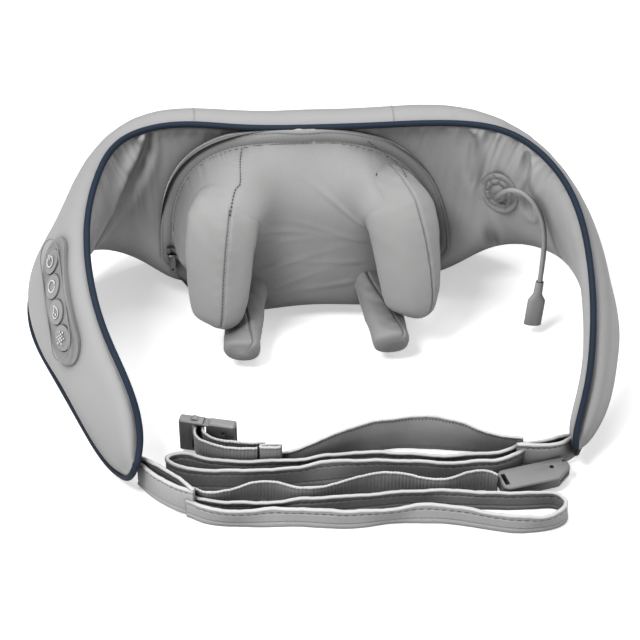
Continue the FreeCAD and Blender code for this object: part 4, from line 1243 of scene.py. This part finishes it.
def hood_wrinkles(x, z):
    """Pull lines fanning between the finger roots and under the band."""
    total = np.zeros_like(x)
    # Start of each pull line (x, z), its slope angle and its depth in 1.5 mm.
    fan = (
        (-0.040, 0.100, -0.35, 0.9), (-0.036, 0.085, -0.10, 0.8), (-0.034, 0.060, 0.15, 0.9),
        (0.040, 0.105, 0.45, 1.0), (0.036, 0.085, 0.22, 0.9), (0.036, 0.062, -0.08, 0.8),
        (0.030, 0.042, -0.25, 0.7), (-0.030, 0.040, 0.25, 0.6),
    )
    for x0, z0, angle, depth in fan:
        way = -1.0 if x0 > 0 else 1.0
        dx = (x - x0) * way
        dz = (z - z0) - dx * math.tan(angle) - 2.0 * dx * dx
        fade = np.exp(-np.clip(dx, 0.0, None) / 0.035) * (dx > -0.010)
        fade = fade * np.clip((dx + 0.010) / 0.010, 0.0, 1.0)
        crest = np.exp(-(dz / 0.0030) ** 2) - 0.5 * np.exp(-(dz / 0.007) ** 2)
        total += depth * 1.5 * MM * fade * crest
    return total


def build_band(hood):
    """Hemmed band with two rows of stitches round the hood."""
    line = hood.outline
    middle = hood.middle
    inwards = unit(np.roll(line, -1, axis=0) - np.roll(line, 1, axis=0))
    inwards = np.stack([-inwards[:, 1], inwards[:, 0]], axis=1)
    if np.mean(np.sum(inwards * (middle - line), axis=1)) < 0:
        inwards = -inwards
    keep = np.nonzero(line[:, 1] > hood.low[1] + 14.0 * MM)[0]
    start = np.nonzero(np.diff(keep) > 1)[0]
    if len(start):
        keep = np.concatenate([keep[start[0] + 1:], keep[:start[0] + 1]])
    # Section of the band in millimetres: distance in from the outline, height over the hood.
    profile = [(0.4, -2.2), (0.0, 0.1), (0.6, 0.5), (1.6, 0.6), (2.0, 0.35), (2.4, 0.6), (8.6, 0.6),
               (9.0, 0.35), (9.4, 0.6), (10.2, 0.5), (10.6, 0.1), (10.4, -0.9)]
    rows = []
    for k in keep:
        row = []
        for offset, lift in profile:
            flat = line[k] + inwards[k] * offset * MM
            reach = np.linalg.norm(line[k] - middle)
            share = np.linalg.norm(flat - middle) / reach
            hug = hood.gaps[k] * min(share, 1.0) ** 8
            row.append(hood.point(np.array(flat[0]), np.array(flat[1]), (lift + 0.6) * MM, hug))
        rows.append(row)
    grid = np.array(rows)
    for column in range(grid.shape[1]):
        grid[:, column] = smooth_line(grid[:, column], 10)
    faces = grid_faces(*grid.shape[:2])
    obj = make_object("hood_band", grid.reshape(-1, 3), faces, MATERIALS["zip"], grid_uv(grid))
    if obj.data.polygons[len(obj.data.polygons) // 2].normal.y > 0:
        obj.data.flip_normals()
    finish_piece(obj, "root", "zip_tape", "hood_zip")
    up = np.tile(np.array([0.0, -1.0, 0.0]), (len(grid), 1))
    for number, column in ((1, 4), (2, 7)):
        stitch_row("band_stitches_%d" % number, grid[:, column], up, 2.4 * MM, 1.2 * MM,
                   0.26 * MM, "band_thread", "root", "zip_tape")


# ---- straps ------------------------------------------------------------------------------

def islands(mesh):
    """A welded copy of a mesh and its vertex groups that hang together, widest first."""
    bm = bmesh.new()
    bm.from_mesh(mesh)
    bmesh.ops.remove_doubles(bm, verts=bm.verts, dist=0.02 * MM)
    bm.verts.ensure_lookup_table()
    seen = set()
    groups = []
    for vert in bm.verts:
        if vert.index in seen:
            continue
        stack = [vert]
        seen.add(vert.index)
        group = []
        while stack:
            v = stack.pop()
            group.append(v)
            for edge in v.link_edges:
                other = edge.other_vert(v)
                if other.index not in seen:
                    seen.add(other.index)
                    stack.append(other)
        groups.append(group)

    def spread(group):
        xs = [v.co.x for v in group]
        ys = [v.co.y for v in group]
        return max(xs) - min(xs) + max(ys) - min(ys)

    groups.sort(key=spread, reverse=True)
    return bm, groups


def ribbon_line(name, piece=0):
    """Middle line seen from above, lowest and highest z of a strap standing on edge."""
    bm, groups = islands(nodes[name].data)
    group = groups[piece]
    inside = set(v.index for v in group)
    high = max(v.co.z for v in group)
    low = min(v.co.z for v in group)
    caps = set()
    for face in bm.faces:
        if face.verts[0].index in inside and all(v.co.z > high - 0.05 * MM for v in face.verts):
            caps.add(face.index)
    border = {}
    for edge in bm.edges:
        if sum(1 for face in edge.link_faces if face.index in caps) == 1:
            a, b = edge.verts
            border.setdefault(a.index, []).append(b.index)
            border.setdefault(b.index, []).append(a.index)
    bm.verts.ensure_lookup_table()
    start = next(iter(border))
    loop = [start]
    previous = None
    while True:
        options = [n for n in border[loop[-1]] if n != previous]
        if not options or options[0] == start:
            break
        previous = loop[-1]
        loop.append(options[0])
        if len(loop) > len(border) + 2:
            break
    points = np.array([bm.verts[i].co[:2] for i in loop])
    bm.free()
    ahead = unit(np.roll(points, -1, axis=0) - points)
    behind = unit(points - np.roll(points, 1, axis=0))
    turn = np.sum(ahead * behind, axis=1)
    corners = sorted(np.argsort(turn)[:4])
    runs = []
    for a, b in zip(corners, corners[1:] + [corners[0] + len(points)]):
        runs.append(points[np.arange(a, b + 1) % len(points)])
    runs.sort(key=lambda run: -lengths(run)[-1])
    near, far = resample(runs[0], 200), resample(runs[1], 200)
    if np.linalg.norm(near[0] - far[0]) > np.linalg.norm(near[0] - far[-1]):
        far = far[::-1]
    return (near + far) / 2.0, low, high


def strip_profile(height, thick, hem, count=15):
    """Half thickness of a strap against height: thicker hems with a stitched groove."""
    z = np.linspace(0.0, height, count * 2 - 1)
    half = np.full_like(z, thick / 2.0)
    for edge in (0.0, height):
        gap = np.abs(z - edge)
        if hem > 0.0:
            half += 0.35 * MM * (1.0 / (1.0 + np.exp((gap - hem) / (0.5 * MM))))
            half -= 0.45 * MM * np.exp(-((gap - hem * 0.8) / (0.7 * MM)) ** 2)
    half += 0.45 * MM * np.exp(-((height - 1.2 * MM - z) / (0.8 * MM)) ** 4)
    round_off = np.minimum(z, height - z)
    half *= np.sqrt(np.clip(round_off / (0.9 * MM), 0.12, 1.0))
    return z, half


class Strap:
    """One strap on edge, swept along its line, with lean, slack and stitched hems.

    The lean is in millimetres; ends gives the share of the height left at each end.
    """

    def __init__(self, name, line, low, high, thick, hem, step, seed,
                 lean=1.2, rib=0.0, ends=(1.0, 1.0)):
        length = lengths(line)[-1]
        count = int(length / step)
        self.name = name
        self.line = smooth_line(resample(line, count), 2)
        self.normal = left_of(self.line)
        s = np.linspace(0.0, length, count)
        z, half = strip_profile(high - low, thick, hem)
        self.z = z
        share = z / (high - low)
        sway = lean * MM * wavy(s / (38.0 * MM), seed, 3)
        fine = 0.35 * MM * wavy(s / (7.0 * MM), seed + 4, 3)
        self.shift = sway[:, None] * (share[None, :] - 0.4) * 2.0
        self.shift += fine[:, None] * np.abs(share[None, :] - 0.3)
        lift = 0.7 * MM * wavy(s / (24.0 * MM), seed + 9, 3)
        rise = np.clip(s / STRAP_FALL, 0.0, 1.0)
        fall = np.clip((length - s) / STRAP_FALL, 0.0, 1.0)
        rise = ends[0] + (1.0 - ends[0]) * rise * rise * (3.0 - 2.0 * rise)
        fall = ends[1] + (1.0 - ends[1]) * fall * fall * (3.0 - 2.0 * fall)
        self.height = low + z[None, :] * (rise * fall)[:, None]
        self.height += lift[:, None] * np.clip(share - 0.5, 0.0, 1.0)[None, :] * 2.0
        thickness = np.tile(half, (count, 1))
        if hem > 0.0:
            gap = np.minimum(z, (high - low) - z)
            dimple = np.exp(-((gap - hem * 0.8) / (1.1 * MM)) ** 2)
            beat = 0.5 + 0.5 * np.cos(2.0 * math.pi * s / STITCH_PITCH)
            thickness -= 0.35 * MM * beat[:, None] * dimple[None, :]
        if rib > 0.0:
            wave = np.cos(2.0 * math.pi * s / (2.7 * MM))
            thickness += rib * wave[:, None]
        self.thickness = np.maximum(thickness, 0.15 * MM)

    def surface(self, side):
        """Grid of points on one face, from the bottom edge to the top edge."""
        offset = self.shift + side * self.thickness
        x = self.line[:, None, 0] + self.normal[:, None, 0] * offset
        y = self.line[:, None, 1] + self.normal[:, None, 1] * offset
        return np.stack([x, y, self.height], axis=2)

    def build(self, material, slot, *replaced):
        one = self.surface(1.0)
        two = self.surface(-1.0)[:, ::-1]
        grid = np.concatenate([one, two], axis=1)
        rows, cols = grid.shape[:2]
        faces = grid_faces(rows, cols, True)
        faces.append(tuple(range(cols))[::-1])
        faces.append(tuple((rows - 1) * cols + k for k in range(cols)))
        obj = make_object(self.name, grid.reshape(-1, 3), faces, MATERIALS[material], grid_uv(grid))
        fix_normals(obj)
        return finish_piece(obj, "root", slot, *replaced)

    def stitches(self, side, below_top, length, gap, radius, slot):
        """Stitches on one face, at a distance below the top edge."""
        grid = self.surface(side)
        column = int(np.argmin(np.abs(self.z - (self.z[-1] - below_top))))
        line = grid[:, column]
        flat = np.column_stack([self.normal * side, np.zeros(len(line))])
        name = "%s_stitches_%s" % (self.name, "front" if side < 0 else "back")
        stitch_row(name, line[2:-2], flat[2:-2], length, gap, radius, "band_thread", "root", slot)


def fix_normals(obj):
    bm = bmesh.new()
    bm.from_mesh(obj.data)
    bmesh.ops.recalc_face_normals(bm, faces=bm.faces)
    bm.to_mesh(obj.data)
    bm.free()


def extend(line, at_start, at_end):
    """A plane line made longer at its ends."""
    line = np.array(line)
    if at_start > 0:
        line = np.vstack([line[0] + unit(line[0] - line[3]) * at_start, line])
    if at_end > 0:
        line = np.vstack([line, line[-1] + unit(line[-1] - line[-4]) * at_end])
    return resample(line, 240)


def build_straps():
    hem = 6.0 * MM
    for name, seed in (("left_hand_loop", 1), ("right_hand_loop", 2)):
        line, low, high = ribbon_line(name)
        line = extend(line, 6.0 * MM, 6.0 * MM)
        strap = Strap(name + "_strap", line, low, high, 1.9 * MM, hem, 1.3 * MM, seed)
        strap.build("strap", "strap_fabric", name)
        for side in (-1.0, 1.0):
            strap.stitches(side, hem * 0.8, 3.4 * MM, 2.2 * MM, 0.33 * MM, "strap_fabric")
    line, low, high = ribbon_line("wide_strap")
    if line[0, 0] > line[-1, 0]:
        line = line[::-1]
    strap = Strap("wide_strap_velour", line, low, high, 2.2 * MM, 2.6 * MM, 1.4 * MM, 5, 1.6,
                  ends=(0.45, 0.62))
    strap.build("velour", "velour_fabric", "wide_strap")
    for side in (-1.0, 1.0):
        strap.stitches(side, 3.0 * MM, 1.5 * MM, 1.1 * MM, 0.34 * MM, "velour_fabric")
    for name, seed, more_start, more_end in (
            ("elastic_webbing", 3, 5.0 * MM, 3.0 * MM), ("adjuster_webbing", 4, 0.0, 0.0)):
        line, low, high = ribbon_line(name)
        line = extend(line, more_start, more_end)
        strap = Strap(name + "_weave", line, low, high, 1.4 * MM, 0.0, 0.55 * MM, seed, 0.7, 0.2 * MM)
        strap.build("webbing", "ribbed_webbing", name)
    build_end_stop()
    build_roots()


def build_end_stop():
    """Webbing end folded over itself."""
    bm, groups = islands(nodes["adjuster_webbing"].data)
    points = np.array([v.co for v in groups[-1]])
    bm.free()
    low, high = points.min(axis=0), points.max(axis=0)
    middle = (low + high) / 2.0
    half = (high - low) / 2.0
    turns = []
    for k in range(60):
        t = k / 59.0 * 3.0 * math.pi
        swell = 1.0 - 0.10 * t / (3.0 * math.pi)
        turns.append(middle[:2] + np.array([half[0] * swell * superround(math.cos(t)),
                                            (half[1] - 0.9 * MM) * swell * superround(math.sin(t))]))
    strap = Strap("webbing_end_stop", np.array(turns), low[2], high[2], 1.5 * MM, 0.0, 0.5 * MM, 7,
                  0.2, 0.14 * MM)
    strap.build("webbing", "ribbed_webbing")


def superround(value):
    return math.copysign(abs(value) ** 0.6, value)


def build_roots():
    """Each root is the strap fabric folded double and sewn shut where the straps leave it."""
    for piece, name, seed in ((0, "a", 21), (1, "b", 22)):
        line, low, high = ribbon_line("strap_roots", piece)
        if abs(line[0, 0]) < abs(line[-1, 0]):
            line = line[::-1]
        line = extend(line, 9.0 * MM, 9.0 * MM)
        share = np.linspace(0.0, 1.0, len(line))
        normal = left_of(line)
        belly = np.sin(np.pi * np.clip(share * 1.05, 0.0, 1.0)) ** 0.8 * 3.4 * MM
        for layer, side in enumerate((-1.0, 1.0)):
            path = line + normal * (side * (belly + 0.9 * MM))[:, None]
            grow = 1.5 * MM if layer else 0.0
            strap = Strap("strap_root_%s_%d" % (name, layer), path, low, high + grow, 1.7 * MM,
                          5.0 * MM, 1.2 * MM, seed + layer, 0.8)
            stood_for = ["strap_roots"] if layer == 0 and piece == 0 else []
            strap.build("strap", "strap_fabric", *stood_for)
            strap.stitches(side, 4.0 * MM, 2.6 * MM, 1.6 * MM, 0.32 * MM, "strap_fabric")


# ---- moulded parts -----------------------------------------------------------------------

def softened(node, width, material, slot, body):
    """Copy of a hard part with its edges rounded; it stands for the node."""
    mesh = nodes[node].data.copy()
    bm = bmesh.new()
    bm.from_mesh(mesh)
    bmesh.ops.remove_doubles(bm, verts=bm.verts, dist=0.01 * MM)
    bmesh.ops.dissolve_limit(bm, angle_limit=math.radians(1.2), verts=bm.verts, edges=bm.edges)
    bm.to_mesh(mesh)
    bm.free()
    obj = bpy.data.objects.new(node + "_moulding", mesh)
    bpy.context.scene.collection.objects.link(obj)
    set_material(mesh, material)
    mesh.polygons.foreach_set("use_smooth", [True] * len(mesh.polygons))
    bevel = obj.modifiers.new("edges", "BEVEL")
    bevel.width = width
    bevel.segments = 3
    bevel.limit_method = "ANGLE"
    bevel.angle_limit = math.radians(32.0)
    bevel.harden_normals = True
    finish_piece(obj, body, slot, node)


class Keypad:
    """Directions and places of the keypad, from its buttons and their joints."""

    def __init__(self):
        joint = next(j for j in frame["joints"] if j["name"] == "power_button_press")
        self.out = -unit(np.array(joint["axis"], float))
        first = node_points("power_button").mean(axis=0)
        last = node_points("intensity_button").mean(axis=0)
        along = last - first
        self.along = unit(along - self.out * np.dot(along, self.out))
        self.across = np.cross(self.out, self.along)

    def top(self, name):
        points = node_points(name)
        middle = points.mean(axis=0)
        height = (points - middle) @ self.out
        return middle + self.out * (height.max() + 0.04 * MM)


def flat_shape(name, outlines, origin, right, up, out, body):
    """Thin raised marks from closed outlines given in the plane of a button's face."""
    right = right * MARK_SCALE
    up = up * MARK_SCALE
    verts = []
    faces = []
    thick = 0.16 * MM
    for outline in outlines:
        base = len(verts)
        count = len(outline)
        for lift in (0.0, thick):
            for x, y in outline:
                verts.append(origin + right * x + up * y + out * lift)
        faces.append(tuple(base + count + k for k in range(count)))
        for k in range(count):
            n = (k + 1) % count
            faces.append((base + k, base + n, base + count + n, base + count + k))
    obj = make_object(name, verts, faces, MATERIALS["symbol"], np.zeros((len(verts), 2)))
    fix_normals(obj)
    obj.data.polygons.foreach_set("use_smooth", [False] * len(obj.data.polygons))
    finish_piece(obj, body, "button_plastic")


def arc_band(radius, width, start, end, count=22):
    """Quads that follow an arc, as separate closed outlines."""
    shapes = []
    angles = np.radians(np.linspace(start, end, count))
    for a, b in zip(angles[:-1], angles[1:]):
        inner, outer = radius - width / 2.0, radius + width / 2.0
        corners = ((inner, a), (outer, a), (outer, b), (inner, b))
        shapes.append([(reach * math.cos(turn), reach * math.sin(turn)) for reach, turn in corners])
    return shapes


def bar(x0, y0, x1, y1, width):
    way = unit(np.array([x1 - x0, y1 - y0]))
    side = np.array([-way[1], way[0]]) * width / 2.0
    a, b = np.array([x0, y0]), np.array([x1, y1])
    return [tuple(a + side), tuple(a - side), tuple(b - side), tuple(b + side)]


def dot(x, y, radius, count=12):
    turns = [2 * math.pi * k / count for k in range(count)]
    return [(x + radius * math.cos(turn), y + radius * math.sin(turn)) for turn in turns]


def power_mark():
    shapes = arc_band(3.6 * MM, 0.8 * MM, 122.0, 418.0)
    shapes.append(bar(0.0, 1.2 * MM, 0.0, 4.9 * MM, 0.8 * MM))
    return shapes


def direction_mark():
    shapes = arc_band(3.8 * MM, 0.8 * MM, 20.0, 165.0) + arc_band(3.8 * MM, 0.8 * MM, 200.0, 345.0)
    for turn in (0.0, math.pi):
        c, s = math.cos(turn), math.sin(turn)
        corners = ((2.5, 1.3), (5.1, 1.5), (3.7, -0.7))
        shapes.append([((x * c - y * s) * MM, (x * s + y * c) * MM) for x, y in corners])
    return shapes


def heat_mark():
    shapes = []
    outline = ((0.0, 5.0), (0.8, 3.2), (2.6, 1.2), (3.2, -1.2), (2.4, -3.4), (0.0, -4.4), (-2.4, -3.4),
               (-3.2, -1.2), (-2.2, 0.8), (-1.4, -0.4), (-0.9, 2.4), (0.0, 5.0))
    for (x0, y0), (x1, y1) in zip(outline[:-1], outline[1:]):
        shapes.append(bar(x0 * MM, y0 * MM, x1 * MM, y1 * MM, 0.75 * MM))
    shapes.append(dot(0.0, -2.0 * MM, 0.9 * MM))
    return shapes


def intensity_mark():
    shapes = [dot(0.0, 0.0, 0.75 * MM)]
    for ring, count in ((2.2, 6), (4.1, 6)):
        for k in range(count):
            a = 2.0 * math.pi * k / count + (0.0 if ring < 3.0 else math.pi / 6.0)
            shapes.append(dot(ring * MM * math.cos(a), ring * MM * math.sin(a), 0.62 * MM))
    return shapes


MARKS = (
    ("power_button", power_mark), ("direction_button", direction_mark),
    ("heat_button", heat_mark), ("intensity_button", intensity_mark),
)


def build_keypad_rim(pad):
    """Fine raised line just inside the edge of the keypad plate."""
    points = node_points("keypad_plate")
    middle = points.mean(axis=0)
    flat = np.stack([(points - middle) @ pad.along, (points - middle) @ pad.across], axis=1)
    height = ((points - middle) @ pad.out).max()
    half_long = (flat[:, 0].max() - flat[:, 0].min()) / 2.0 - RIM_INSET
    half_wide = (flat[:, 1].max() - flat[:, 1].min()) / 2.0 - RIM_INSET
    centre = (flat.max(axis=0) + flat.min(axis=0)) / 2.0
    straight = half_long - half_wide
    loop = []
    for k in range(160):
        a = 2.0 * math.pi * k / 160
        along = half_wide * math.cos(a) + math.copysign(straight, math.cos(a))
        across = half_wide * math.sin(a)
        loop.append(middle + pad.along * (centre[0] + along) + pad.across * (centre[1] + across)
                    + pad.out * (height - 0.1 * MM))
    obj = tube_along("keypad_rim_line", np.array(loop), 0.45 * MM, MATERIALS["keypad"], True, 8)
    finish_piece(obj, "root", "keypad_plastic")


def build_keypad():
    pad = Keypad()
    softened("keypad_plate", 0.9 * MM, "keypad", "keypad_plastic", "root")
    build_keypad_rim(pad)
    for name, mark in MARKS:
        softened(name, 0.5 * MM, "button", "button_plastic", name)
        flat_shape(name + "_mark", mark(), pad.top(name), pad.across, -pad.along, pad.out, name)


def build_grommet():
    """Round moulded grommet: stepped rings round a boss, with slits in the inner ring."""
    points = node_points("charge_grommet")
    facing = unit(np.array(GROMMET_FACING))
    side = unit(np.cross(facing, [0.0, 0.0, 1.0]))
    up = np.cross(side, facing)
    centre = points.mean(axis=0)
    flat = points - centre
    radial = np.hypot(flat @ side, flat @ up)
    radius = radial.max()
    rim = flat[radial > radius * 0.93]
    seat = float((rim @ facing).max()) - 0.4 * MM
    # Section as share of the radius and height in millimetres.
    profile = [(1.0, -1.4), (1.0, 0.3), (0.97, 1.0), (0.90, 1.4), (0.78, 1.5), (0.75, 0.7), (0.70, 0.7),
               (0.67, 1.9), (0.60, 2.2), (0.50, 2.3), (0.47, 1.3), (0.42, 1.3), (0.39, 3.0), (0.30, 3.8),
               (0.20, 4.6), (0.13, 5.2), (0.02, 5.2)]
    around = 96
    grid = []
    for share, lift in profile:
        ring = []
        for k in range(around):
            a = 2.0 * math.pi * k / around
            cut = 0.0
            if 0.48 < share < 0.68 and k % 12 in (0, 1, 11):
                cut = 1.1
            if 0.76 < share < 0.92 and (k + 6) % 24 in (0, 1, 23):
                cut = 0.7
            ring.append(centre + (side * math.cos(a) + up * math.sin(a)) * radius * share
                        + facing * (seat + (lift - cut) * MM))
        grid.append(ring)
    grid = np.array(grid)
    obj = make_object("grommet_rings", grid.reshape(-1, 3), grid_faces(len(profile), around, True),
                      MATERIALS["rubber"], grid_uv(grid))
    fix_normals(obj)
    add_subdivision(obj)
    finish_piece(obj, "root", "lead_rubber", "charge_grommet")


def build_hard_parts():
    build_keypad()
    build_grommet()
    for node, width, material, slot, body in (
            ("charge_socket", 0.6 * MM, "rubber", "lead_plastic", "root"),
            ("buckle_plug", 0.6 * MM, "plastic", "buckle_plastic", "root"),
            ("buckle_socket", 0.6 * MM, "plastic", "buckle_plastic", "root"),
            ("base_strip", 0.5 * MM, "base", "base_rubber", "root"),
            ("zip_slider", 0.25 * MM, "zip_metal", "zip_metal", "root"),
            ("zip_pull", 0.3 * MM, "zip_metal", "zip_metal", "zip_pull")):
        softened(node, width, material, slot, body)


# ---- stage -------------------------------------------------------------------------------

def build_stage():
    """Pale floor that looks white to the camera but throws no extra light on the object."""
    bpy.ops.mesh.primitive_plane_add(size=FLOOR_SIZE, location=(0.0, 0.0, 0.0))
    floor = bpy.context.object
    floor.name = "floor"
    n = Nodes("floor_white")
    inputs = n.shader.inputs
    inputs["Base Color"].default_value = (0.93, 0.93, 0.93, 1.0)
    inputs["Roughness"].default_value = 0.9
    inputs["Emission Color"].default_value = (1.0, 1.0, 1.0, 1.0)
    path = n.add("LightPath")
    glow = n.math("MULTIPLY", path.outputs["Is Camera Ray"], FLOOR_GLOW)
    n.link(glow, inputs["Emission Strength"])
    floor.data.materials.append(n.material)


def area_light(name, location, size, power):
    light = bpy.data.lights.new(name, "AREA")
    light.shape = "DISK"
    light.size = size
    light.energy = power
    obj = bpy.data.objects.new(name, light)
    obj.location = location
    direction = Vector(LIGHT_TARGET) - Vector(location)
    obj.rotation_mode = "QUATERNION"
    obj.rotation_quaternion = direction.to_track_quat("-Z", "Y")
    bpy.context.scene.collection.objects.link(obj)


def build_lights():
    world = bpy.data.worlds.new("studio")
    world.use_nodes = True
    background = world.node_tree.nodes["Background"].inputs
    background["Color"].default_value = (1.0, 1.0, 1.0, 1.0)
    background["Strength"].default_value = WORLD_LIGHT
    bpy.context.scene.world = world
    for name, location, size, power in LIGHTS:
        area_light(name, location, size, power)
    bpy.context.scene.view_settings.view_transform = "Standard"


def build_camera():
    camera = bpy.data.cameras.new("camera")
    camera.lens = CAMERA_LENS
    camera.sensor_width = CAMERA_SENSOR
    obj = bpy.data.objects.new("camera", camera)
    azimuth = math.radians(CAMERA_AZIMUTH)
    elevation = math.radians(CAMERA_ELEVATION)
    level = math.cos(elevation)
    back = Vector((math.sin(azimuth) * level, -math.cos(azimuth) * level, math.sin(elevation)))
    obj.location = CAMERA_TARGET + back * CAMERA_DISTANCE
    obj.rotation_mode = "QUATERNION"
    obj.rotation_quaternion = (-back).to_track_quat("-Z", "Y")
    bpy.context.scene.collection.objects.link(obj)
    bpy.context.scene.camera = obj


paint_inner_parts()
the_collar, cover_pieces = build_collar()
build_piping(the_collar)
the_fingers = build_fingers()
build_hood(the_fingers, cover_pieces[1])
build_straps()
build_hard_parts()
build_stage()
build_lights()
build_camera()
